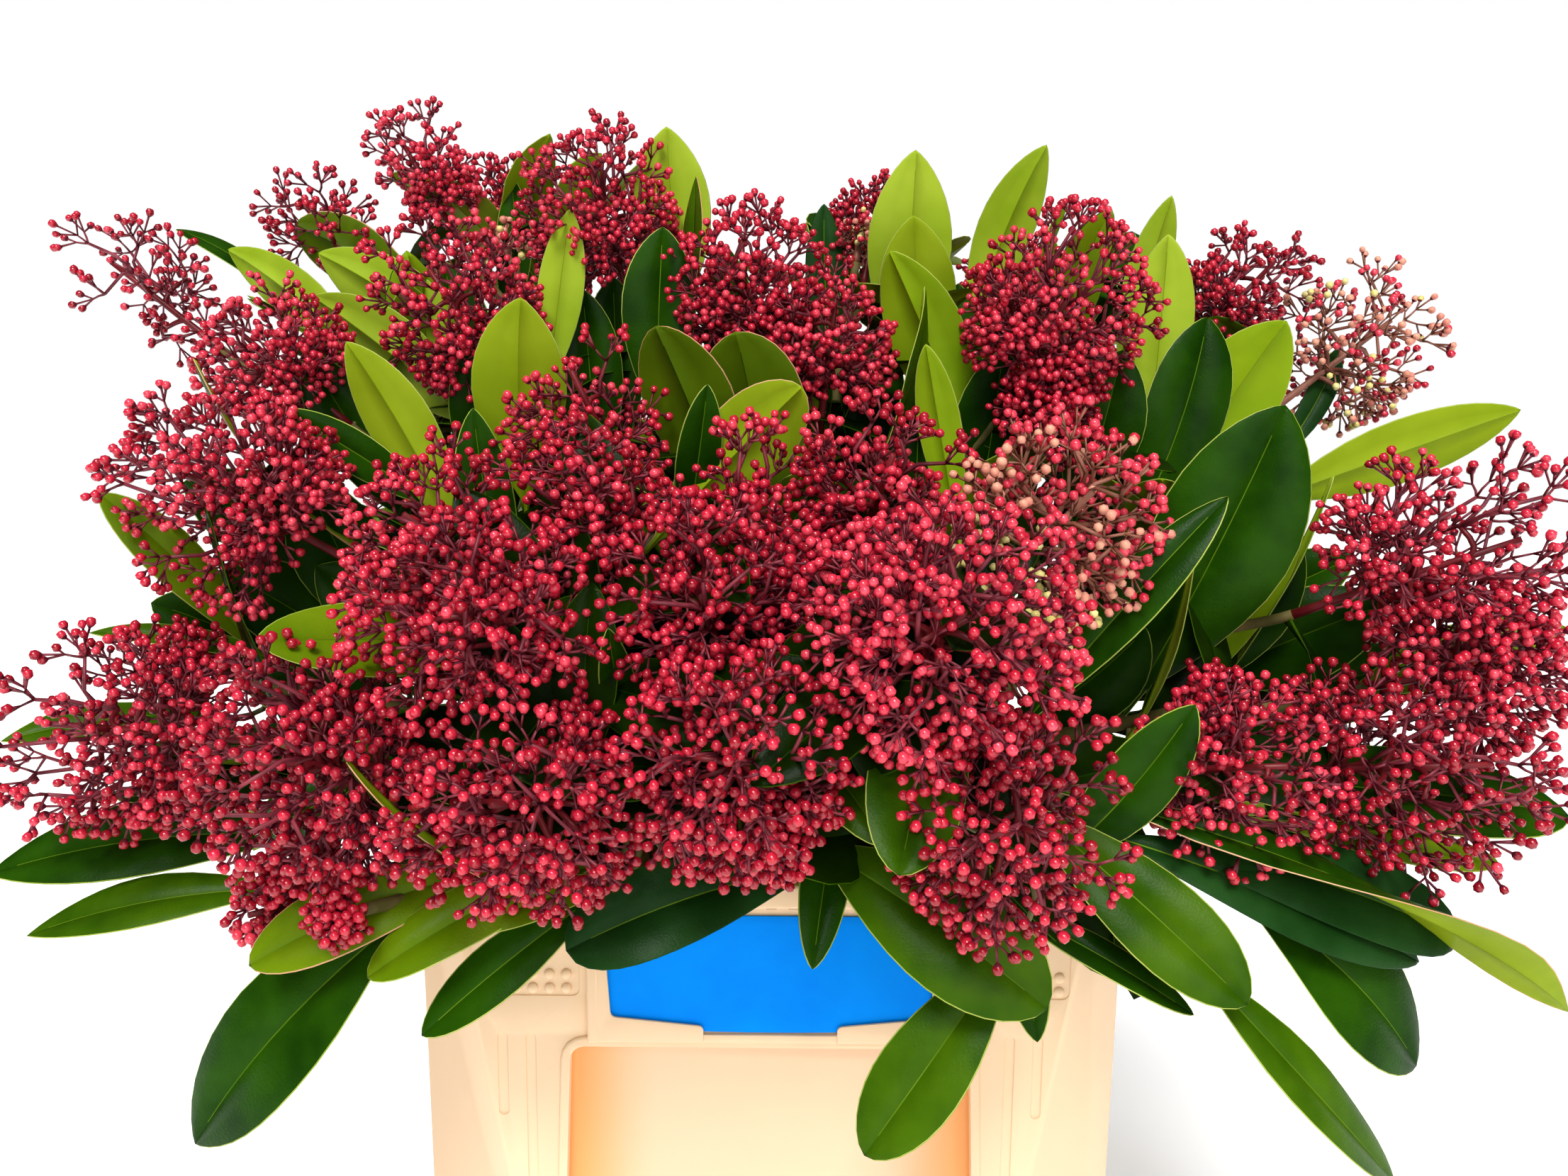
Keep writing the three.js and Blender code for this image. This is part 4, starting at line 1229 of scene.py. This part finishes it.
def add_leaf(
    growth, base, tip, up, width, tone, bow, sway, fold, twist, wave, steps=PLAIN_STEPS, point=0.8
):
    """One closed leaf; bow lifts its middle, sway moves it sideways, and a low point rounds its tip."""
    base, tip, up = (np.array(row, float) for row in (base, tip, up))
    length = np.linalg.norm(tip - base)
    straight = (tip - base) / length
    side = unit(np.cross(straight, up)[None])[0]
    top = np.cross(side, straight)
    t = 1 - (1 - np.linspace(0, 1, steps + 1)) ** TIP_STEPS
    hump = 4 * t * (1 - t) * length
    line = base + np.outer(t, tip - base) + np.outer(hump * bow, top) + np.outer(hump * sway, side)
    along = unit(np.gradient(line, axis=0))
    turn = twist * (t - TWIST_FROM)
    across = side * np.cos(turn)[:, None] + top * np.sin(turn)[:, None]
    across = unit(across - along * (along * across).sum(1)[:, None])
    normal = np.cross(across, along)
    s = np.clip((t - STALK_SHARE) / (1 - STALK_SHARE), 0, 1)
    middle = TOWARDS_BASE / (TOWARDS_BASE + point)
    half = width / 2 * (s / middle) ** TOWARDS_BASE * ((1 - s) / (1 - middle)) ** point
    half = np.maximum(half, STALK_HALF * (1 - t) ** 0.5)
    half[-1] = 0
    inner = 1 - np.minimum(EDGE_WIDE / np.maximum(half, TINY), WIDEST_EDGE)
    rib = np.minimum(RIB_HALF * (1 - RIB_THINS * t) / np.maximum(half, TINY), WIDEST_RIB)
    between = (inner + rib) / 2
    zero = np.zeros_like(t)
    shares = np.stack([-1 + zero, -inner, -between, -rib, zero, rib, between, inner, 1 + zero], axis=1)
    flat = shares * half[:, None]
    ripple = np.sin(t * RIPPLES + base[0] * RIPPLE_SHIFT)[:, None] * shares ** 2 * np.sign(shares)
    rise = np.abs(flat) * math.tan(fold) + half[:, None] * (wave * ripple - ROLLED * shares ** 4 * fold)
    skin = line[:, None] + across[:, None] * flat[..., None] + normal[:, None] * rise[..., None]
    upper = skin - normal[:, None] * RIB_DIP[None, :, None]
    stout = (1 + STALK_STOUTER * np.clip(1 - t / STALK_END, 0, 1))[:, None, None]
    under = skin[:, 1:8] - normal[:, None] * THICKNESS[None, :, None] * stout
    rows = np.concatenate([upper, under], axis=1)[:steps].reshape(-1, 3)
    growth.add(np.vstack([rows, tip[None]]), LEAF_FACES[steps][0], TONE_SLOTS[tone, steps])
    leaf_bases.append((base, straight))


# The leaves that show from the front. Place of the tip and of the base in mm, width in mm, kind of leaf
CREST_LEAVES = (
    ((-318, 39, 627), (-253, 13, 588), 14, "mid_crest"), ((-276, 6, 612), (-217, -10, 564), 26, "lime"),
    ((-255, 39, 630), (-204, 36, 604), 31, "shaded"), ((-227, -4, 609), (-175, -8, 576), 32, "lime"),
    ((-225, -17, 587), (-164, -23, 541), 35, "lime"), ((-184, -88, 560), (-166, -80, 508), 27, "lime_low"),
    ((-210, -95, 531), (-187, -77, 513), 17, "dark"), ((-126, -105, 532), (-129, -100, 493), 22, "dark"),
    ((-247, -94, 552), (-230, -92, 523), 20, "edge_left"), ((-146, 63, 660), (-158, 68, 617), 18, "dark"),
    ((-99, -22, 628), (-113, -29, 571), 21, "lime"), ((-109, -88, 579), (-118, -76, 512), 38, "lime_low"),
    ((-57, 15, 675), (-50, 14, 595), 36, "lime"), ((-40, -14, 645), (-45, -18, 576), 26, "edge_left"),
    ((-54, -33, 618), (-60, -30, 564), 32, "dark"), ((-52, -84, 568), (-36, -76, 534), 38, "shaded"),
    ((-18, -82, 566), (-12, -74, 520), 44, "shaded"), ((11, -100, 542), (-40, -96, 506), 34, "blush_back"),
    ((-29, -96, 543), (-37, -88, 520), 18, "dark"), ((24, 61, 647), (29, 67, 613), 20, "blue"),
    ((67, 3, 662), (63, 11, 572), 39, "lime"), ((65, -12, 628), (78, 1, 567), 35, "lime_low"),
    ((52, -34, 608), (95, -34, 528), 34, "olive"), ((68, -42, 591), (50, -44, 533), 30, "edge_right"),
    ((65, -76, 562), (85, -78, 500), 18, "olive"), ((136, 24, 670), (116, 36, 607), 27, "lime"),
    ((200, 21, 645), (194, 25, 602), 20, "lime"), ((192, -2, 622), (193, -3, 537), 30, "lime"),
    ((199, -43, 578), (177, -44, 492), 36, "dark"), ((242, -28, 578), (204, -18, 499), 40, "olive"),
    ((197, -140, 535), (164, -118, 425), 50, "dark"), ((166, -169, 501), (105, -169, 421), 20, "mid_crest"),
    ((163, -150, 492), (158, -139, 419), 24, "edge_right"),
    ((235, -103, 507), (207, -93, 423), 22, "edge_right"),
    ((217, -115, 490), (193, -104, 422), 20, "olive"), ((354, -33, 537), (252, -23, 499), 30, "lime_low"),
    ((336, -106, 444), (292, -89, 420), 27, "bright"), ((146, -203, 431), (126, -189, 384), 24, "dark"),
    ((-172, -213, 452), (-144, -190, 452), 30, "bright"), ((-55, -210, 457), (-56, -189, 426), 12, "dark"),
    ((-276, -119, 496), (-262, -104, 458), 20, "bright"),
    ((-134, -238, 418), (-116, -224, 388), 20, "pink"), ((268, -92, 452), (205, -60, 410), 38, "dark"),
    ((228, -92, 476), (190, -60, 405), 34, "dark"), ((296, -84, 428), (215, -50, 400), 36, "dark"),
    ((150, -132, 446), (118, -90, 400), 34, "dark"), ((104, -48, 562), (105, -30, 500), 34, "dark"),
    ((158, -52, 562), (150, -35, 490), 34, "dark"), ((-208, -78, 503), (-195, -50, 440), 38, "dark"),
    ((-243, -88, 462), (-205, -55, 420), 34, "dark"), ((-272, -92, 447), (-220, -60, 405), 34, "dark"),
    ((-217, -48, 558), (-190, -30, 500), 30, "dark"), ((-140, -60, 560), (-140, -40, 510), 30, "dark"),
    ((-83, 5, 600), (-84, 10, 545), 28, "dark"), ((-2, 0, 585), (-2, 5, 530), 26, "dark"),
    ((-232, -100, 415), (-190, -70, 395), 30, "dark"), ((-132, -150, 378), (-100, -110, 395), 30, "dark"),
    ((-172, -150, 374), (-130, -115, 392), 28, "dark"), ((-150, -150, 360), (-112, -118, 380), 28, "dark"),
    ((262, -70, 470), (222, -40, 440), 30, "dark"), ((246, -95, 392), (205, -60, 392), 30, "dark"),
    ((100, -150, 440), (60, -110, 430), 32, "dark"), ((292, 24, 570), (274, 15, 532), 13, "blue"),
    ((-205, -150, 362), (-165, -115, 385), 34, "dark"), ((-29, 20, 619), (-29, 25, 565), 26, "dark"),
    ((92, 18, 600), (96, 20, 550), 28, "dark"), ((-170, 12, 608), (-165, 10, 560), 30, "dark"),
    ((-262, -78, 499), (-215, -60, 470), 34, "dark"), ((-205, -78, 462), (-170, -60, 420), 34, "dark"),
    ((14, 10, 585), (12, 12, 535), 30, "dark"), ((48, 14, 578), (50, 12, 530), 30, "dark"),
    ((68, -22, 545), (70, -20, 495), 30, "dark"), ((-96, -10, 592), (-100, -5, 540), 30, "dark"),
)
SKIRT_LEAVES = (
    ((41, -243, 384), (52, -222, 416), 31, "front"), ((39, -224, 387), (13, -194, 422), 20, "front"),
    ((93, -229, 333), (22, -196, 371), 36, "front"), ((33, -226, 278), (86, -215, 339), 28, "hang_blunt"),
    ((-70, -214, 345), (5, -197, 359), 30, "blue_hang"), ((15, -212, 338), (22, -202, 362), 17, "hang"),
    ((-178, -217, 340), (-124, -200, 356), 24, "blush_hang"),
    ((-137, -219, 337), (-96, -208, 354), 22, "bright_hang"),
    ((-121, -213, 313), (-76, -204, 348), 20, "hang"),
    ((-107, -210, 351), (-75, -205, 359), 13, "bright_hang"),
    ((-207, -204, 266), (-139, -204, 345), 40, "hang", 0.0, 0.8),
    ((-313, -148, 345), (-210, -127, 351), 32, "hang", 0.0, 0.85),
    ((-291, -161, 325), (-205, -149, 336), 22, "mid_hang"),
    ((-328, -113, 390), (-300, -92, 392), 20, "mid_hang"),
    ((162, -223, 332), (121, -201, 373), 29, "front"),
    ((257, -180, 337), (145, -186, 371), 28, "blue_hang"),
    ((309, -169, 303), (143, -189, 384), 27, "turned_hang", 0.08),
    ((242, -186, 290), (188, -189, 346), 39, "hang", -0.03),
    ((241, -184, 330), (135, -188, 375), 26, "blue_hang", 0.0, 0.75),
    ((229, -201, 253), (160, -200, 334), 21, "mid_hang", 0.06),
    ((150, -207, 320), (120, -200, 335), 14, "hang"),
    ((278, -167, 362), (201, -155, 373), 13, "bright_hang"),
    ((318, -145, 374), (180, -144, 385), 37, "hang"), ((97, -199, 305), (96, -194, 344), 16, "hang"),
    ((-291, -107, 436), (-246, -98, 427), 13, "mid_hang"),
)
# Kind: the way the upper side faces, tone, fold, bow, how pointed the tip is
LEAF_KINDS = {
    "lime": ((0.1, 1, 0.25), "mid", 0.20, 0.05, 0.8),
    "lime_low": ((0.1, 1, 0.25), "low", 0.20, 0.0, 0.8),
    "olive": ((0.35, 1, 0.1), "deep", 0.22, 0.05, 0.75),
    "blush_back": ((0.1, 1, 0.25), "rosy", 0.16, 0.04, 0.6),
    "shaded": ((0.1, 1, 0.25), "shaded", 0.2, 0.04, 0.6),
    "mid_crest": ((0.3, -0.6, 0.9), "deep", 0.22, 0.05, 0.75),
    "dark": ((0.1, -1, 0.45), "deep", 0.24, 0.04, 0.75),
    "blue": ((0.1, -1, 0.45), "blue", 0.22, 0.04, 0.75),
    "bright": ((0.1, -0.8, 0.7), "olive", 0.18, 0.05, 0.7),
    "pink": ((-0.6, -0.6, 0.5), "dusk", 0.35, 0.05, 0.7),
    "edge_left": ((-1, -0.28, 0.1), "pink", 0.25, 0.05, 0.8),
    "edge_right": ((1, -0.32, 0.1), "mid", 0.25, 0.05, 0.8),
    "front": ((0, -1, 0.35), "mid", 0.2, 0.07, 0.6),
    "hang": ((0, -0.75, 0.75), "deep", 0.22, 0.09, 0.68),
    "hang_blunt": ((0, -0.75, 0.75), "mid", 0.22, 0.09, 0.6),
    "mid_hang": ((0, -0.6, 0.9), "mid", 0.22, 0.09, 0.9),
    "blue_hang": ((0, -0.8, 0.7), "blue", 0.2, 0.10, 0.5),
    "bright_hang": ((0, -0.8, 0.7), "olive", 0.2, 0.09, 0.6),
    "turned_hang": ((0, -0.45, 1), "turned", 0.42, 0.09, 0.95),
    "blush_hang": ((-0.2, -0.8, 0.5), "blush", 0.28, 0.09, 0.6),
}
WHOLE_LEAF = (92 * MM, 112 * MM)
NARROW_LEAF, WIDE_LEAF = 0.45, 40
TOWARDS_HEART = 0.8
WIDTH_GAIN = 1.1
SPREADS = (0.02, 0.02, 0.05, 0.22)  # of bow, sway, fold and twist
WAVES = (0.02, 0.09)
LEAST_HIDDEN = 0.24
TURNED = 2.4

def placed_leaf(growth, tip, base, width, kind, sway=0.0, point=None):
    """A leaf of the front; its base goes on inwards until the leaf has its whole length."""
    up, tone, fold, bow, usual_point = LEAF_KINDS[kind]
    tip, base = np.array(tip) * MM, np.array(base) * MM
    shown = np.linalg.norm(tip - base)
    whole = DICE.uniform(*WHOLE_LEAF) * min(1, NARROW_LEAF + width / WIDE_LEAF)
    rest = max(LEAST_HIDDEN * shown, whole - shown)
    inwards = unit((unit((base - tip)[None]) + TOWARDS_HEART * unit((np.array(HEART) - base)[None])))[0]
    twist = TURNED if tone == "turned" else 0
    shape = [usual + DICE.normal(0, spread) for usual, spread in zip((bow, sway, fold, twist), SPREADS)]
    add_leaf(
        growth, base + inwards * rest, tip, up, WIDTH_GAIN * width * MM, tone, *shape, DICE.uniform(*WAVES),
        FINE_STEPS, point or usual_point,
    )


FAR_OUT = 0.5
WHORL_DEEP = 34 * MM
LOW_LEAF = 570 * MM
WHORL_LEANS, FAR_LEANS = (55, 100), (38, 78)
WHORL_LEAVES, SHORTER_TRIES = (78, 106), (1, 0.85, 0.7)
MASS_LEAVES, LEAF_WIDTHS = (80, 108), (25, 37)
INSIDE_BOX = 6 * MM
ROOT_NEAR, PAST_ROOT = 25 * MM, 12 * MM
BEHIND = 62 * MM


def shielded(place):
    """True where a flower head stands between a place and someone in front of the bunch."""
    way = Vector(CAMERA_PLACE) - Vector(place)
    return HEADS_SKIN.ray_cast(Vector(place), way.normalized(), way.length)[0] is not None


def buried(place, deep):
    """True where a place lies deeper than this below the outside of the bunch."""
    way = (Vector(place) - HEART).normalized()
    outside = Vector(place) + way * FAR_OUT
    hit = MASSES.ray_cast(outside, -way)
    return hit[0] is not None and FAR_OUT - hit[3] > deep


def in_box(place, spare):
    """True where a place lies inside the box of the solids by more than a spare distance."""
    return all(low + spare < at < high - spare for low, at, high in zip(cad_bounds[0], place, cad_bounds[1]))


def seeded_leaf(growth, base, tip, up, tones):
    """A leaf with its own small differences."""
    add_leaf(
        growth, base, tip, up, DICE.uniform(*LEAF_WIDTHS) * MM, tones[DICE.integers(len(tones))],
        DICE.normal(0.06, 0.04), DICE.normal(0, 0.05), DICE.uniform(0.12, 0.34), DICE.normal(0, 0.35),
        DICE.uniform(0.02, 0.10),
    )


def whorl(growth, head, count, far_side):
    """The leaves right under a head, spread around its stem; all but a far head's stay under the buds."""
    first, second = side_axes(head.axis[None])
    spin = DICE.uniform(0, 2 * math.pi)
    for number in range(count):
        turn = spin + number * GOLDEN
        lean = math.radians(DICE.uniform(*(FAR_LEANS if far_side else WHORL_LEANS)))
        side = first[0] * math.cos(turn) + second[0] * math.sin(turn)
        way = head.axis * math.cos(lean) + side * math.sin(lean)
        base = head.foot - head.axis * DICE.uniform(0, 22) * MM
        for length in np.array(SHORTER_TRIES) * DICE.uniform(*WHORL_LEAVES) * MM:
            tip = base + way * length
            if not in_box(tip, INSIDE_BOX) or tip[2] < 0.8 * HEIGHT:
                continue
            middle = (base + 2 * tip) / 3
            hidden = shielded(tip) or tip[2] < LOW_LEAF if far_side else buried(tip, WHORL_DEEP)
            if hidden and (far_side or buried(middle, WHORL_DEEP)):
                # Painted shade: leaves hidden under a front head take the near-black inner tone
                tones = ("deep", "mid", "deep", "olive") if far_side else ("inner",) * 3
                seeded_leaf(growth, base, tip, head.axis + [0, 0, 0.3], tones)
                break


def mass_leaves(growth, name, area_each, inner):
    """Leaves that fill a mass of leaves, spread from the end of it that is nearest the bunch's heart."""
    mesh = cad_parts[name].data
    places = np.array([p.center for p in mesh.polygons])
    areas = np.array([p.area for p in mesh.polygons])
    rows = np.array([v.co for v in mesh.vertices])
    near = np.linalg.norm(rows - np.array(HEART), axis=1)
    root = rows[near < near.min() + ROOT_NEAR].mean(0)
    for _ in range(round(areas.sum() / area_each)):
        place = places[DICE.choice(len(places), p=areas / areas.sum())]
        length = DICE.uniform(*MASS_LEAVES) * MM
        way = place - root
        away = np.linalg.norm(way)
        if away < 0.45 * length or not (inner or place[1] > BEHIND or shielded(place)):
            continue
        way = unit((way / away + DICE.normal(0, 0.08, 3))[None])[0]
        up = unit((place - np.array(HEART))[None])[0] * 0.6 + [0, 0, 1]
        # Painted shade: half the leaves of the inner masses, at random, take the near-black inner tone
        tones = ("inner", "deep") if inner else ("deep", "mid", "deep", "blue")
        base = place - way * min(length, away + PAST_ROOT)
        if way[2] < 0 or base[2] > HEIGHT:
            seeded_leaf(growth, base, place, up, tones)


INNER_LEAF_AREA = 2300 * MM * MM
TOP_LEAF_AREA = 1400 * MM * MM
OUTER_LEAF_AREA = 900 * MM * MM
BACK_WHORL, FRONT_WHORL = 9, 7
TWIG_RADII = np.linspace(1.5, 1.1, 6) * MM
LEAF_MASSES = [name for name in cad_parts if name.startswith("leaves_")]
INNER_MASSES = [name for name in LEAF_MASSES if "inner" in name]
FRONT_MASSES = [name for name in LEAF_MASSES if "crest" in name or "skirt_front" in name]
SIDE_MASSES = [name for name in LEAF_MASSES if name not in INNER_MASSES + FRONT_MASSES]

front_leaves, inner_leaves, outer_leaves = Growth(), Growth(), Growth()
for row in CREST_LEAVES + SKIRT_LEAVES:
    placed_leaf(front_leaves, *row)
for group, members in heads.items():
    at_back = group == "back"
    for head in members:
        if not head.name.startswith("spray_"):
            whorl(inner_leaves, head, BACK_WHORL if at_back else FRONT_WHORL, at_back)
for name in LEAF_MASSES:
    inner = name in INNER_MASSES
    area_each = TOP_LEAF_AREA if name == "leaves_inner_top" else INNER_LEAF_AREA if inner else OUTER_LEAF_AREA
    mass_leaves(inner_leaves if inner else outer_leaves, name, area_each, inner)

# Short twigs carry the leaves that stand a little off a stem
stem_places = np.concatenate(courses)
stem_tree = tree_of(stem_places[stem_places[:, 2] > HEIGHT + 10 * MM])
starts, bends, ends = [], [], []
for base, straight in leaf_bases:
    place, _, gap = stem_tree.find(base)
    starts.append(place)
    bends.append(base - straight * 0.5 * gap)
    ends.append(base + straight * MM)
twigs = Growth()
twigs.add(*tubes(arcs(starts, bends, ends, len(TWIG_RADII)), TWIG_RADII, 6), 0)

leaf_pieces = (
    ("leaves_of_the_front", front_leaves, FRONT_MASSES), ("leaves_inside", inner_leaves, INNER_MASSES),
    ("leaves_of_the_sides", outer_leaves, SIDE_MASSES),
)
for name, growth, nodes in leaf_pieces:
    piece = growth.piece(name, LEAF_LOOKS.values())
    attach(piece, "root")
    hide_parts(*nodes)
twig_look = mottled("twig_bark", (0.10, 0.09, 0.02), (0.20, 0.15, 0.05), (0.5, 0.65), 90)
twig_piece = twigs.piece("leaf_twigs", [twig_look])
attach(twig_piece, "root")


# ---- the floor and the light ----
# A plain pale floor that runs out of sight into a white surround, a weak soft light from the front, and a
# wide sun high up in front of the bunch.

FLOOR_HALF = 6.0
FLOOR_GLOW = 0.25
LIGHT_AIM = (0, 0, 0.45)
FRONT_PLACE, FRONT_SIZE, FRONT_WATTS = (0.5, -2.0, 1.1), 1.6, 18
SUN_PLACE, SUN_ANGLE, SUN_STRENGTH = (-0.25, -1.3, 2.2), math.radians(24), 3.3

bpy.ops.object.select_all(action="DESELECT")
bpy.ops.mesh.primitive_plane_add(size=2 * FLOOR_HALF, location=(0, 0, 0))
floor = bpy.context.object
floor.name = "floor"
white_floor = mottled("pale_floor", (0.93, 0.93, 0.93), (0.96, 0.96, 0.96), (0.8, 0.9), 3)
set_inputs(white_floor.node_tree.nodes["Principled BSDF"], {
    "Emission Color": (1, 1, 1, 1), "Emission Strength": FLOOR_GLOW,
})
floor.data.materials.append(white_floor)


def aimed_light(name, kind, place, energy):
    """A light that points from a place at the middle of the bunch."""
    light = in_scene(name, bpy.data.lights.new(name, kind))
    light.location = place
    light.rotation_euler = (Vector(LIGHT_AIM) - Vector(place)).to_track_quat("-Z", "Y").to_euler()
    light.data.energy = energy
    return light.data


aimed_light("front_light", "AREA", FRONT_PLACE, FRONT_WATTS).size = FRONT_SIZE
aimed_light("high_light", "SUN", SUN_PLACE, SUN_STRENGTH).angle = SUN_ANGLE

# The surround is white to look at, and lights the bunch more from above than from the sides
SKY_LIGHT = 0.6
SIDE_LIGHT = 0.1
MIRRORED_LIGHT = 0.14
world = bpy.data.worlds.new("white_surround")
bpy.context.scene.world = world
world.use_nodes = True
nodes = world.node_tree.nodes
white = nodes["Background"]
white.inputs["Color"].default_value = (1, 1, 1, 1)
sky = nodes.new("ShaderNodeBackground")
way = nodes.new("ShaderNodeTexCoord")
parts = nodes.new("ShaderNodeSeparateXYZ")
strength = nodes.new("ShaderNodeMapRange")
set_inputs(strength, {"From Min": 0.0, "From Max": 0.8, "To Min": SIDE_LIGHT, "To Max": SKY_LIGHT})
path = nodes.new("ShaderNodeLightPath")
choice = nodes.new("ShaderNodeMixShader")
mirrored = nodes.new("ShaderNodeMapRange")
set_inputs(mirrored, {"To Min": 1.0, "To Max": MIRRORED_LIGHT})
dimmed = nodes.new("ShaderNodeMath")
dimmed.operation = "MULTIPLY"
wire(
    world.node_tree,
    (way, "Generated", parts, "Vector"), (parts, "Z", strength, "Value"),
    (path, "Is Glossy Ray", mirrored, "Value"), (strength, "Result", dimmed, 0),
    (mirrored, "Result", dimmed, 1), (dimmed, "Value", sky, "Strength"), (path, "Is Camera Ray", choice, "Fac"),
    (sky, "Background", choice, 1), (white, "Background", choice, 2),
    (choice, "Shader", nodes["World Output"], "Surface"),
)
bpy.context.scene.view_settings.view_transform = "Standard"
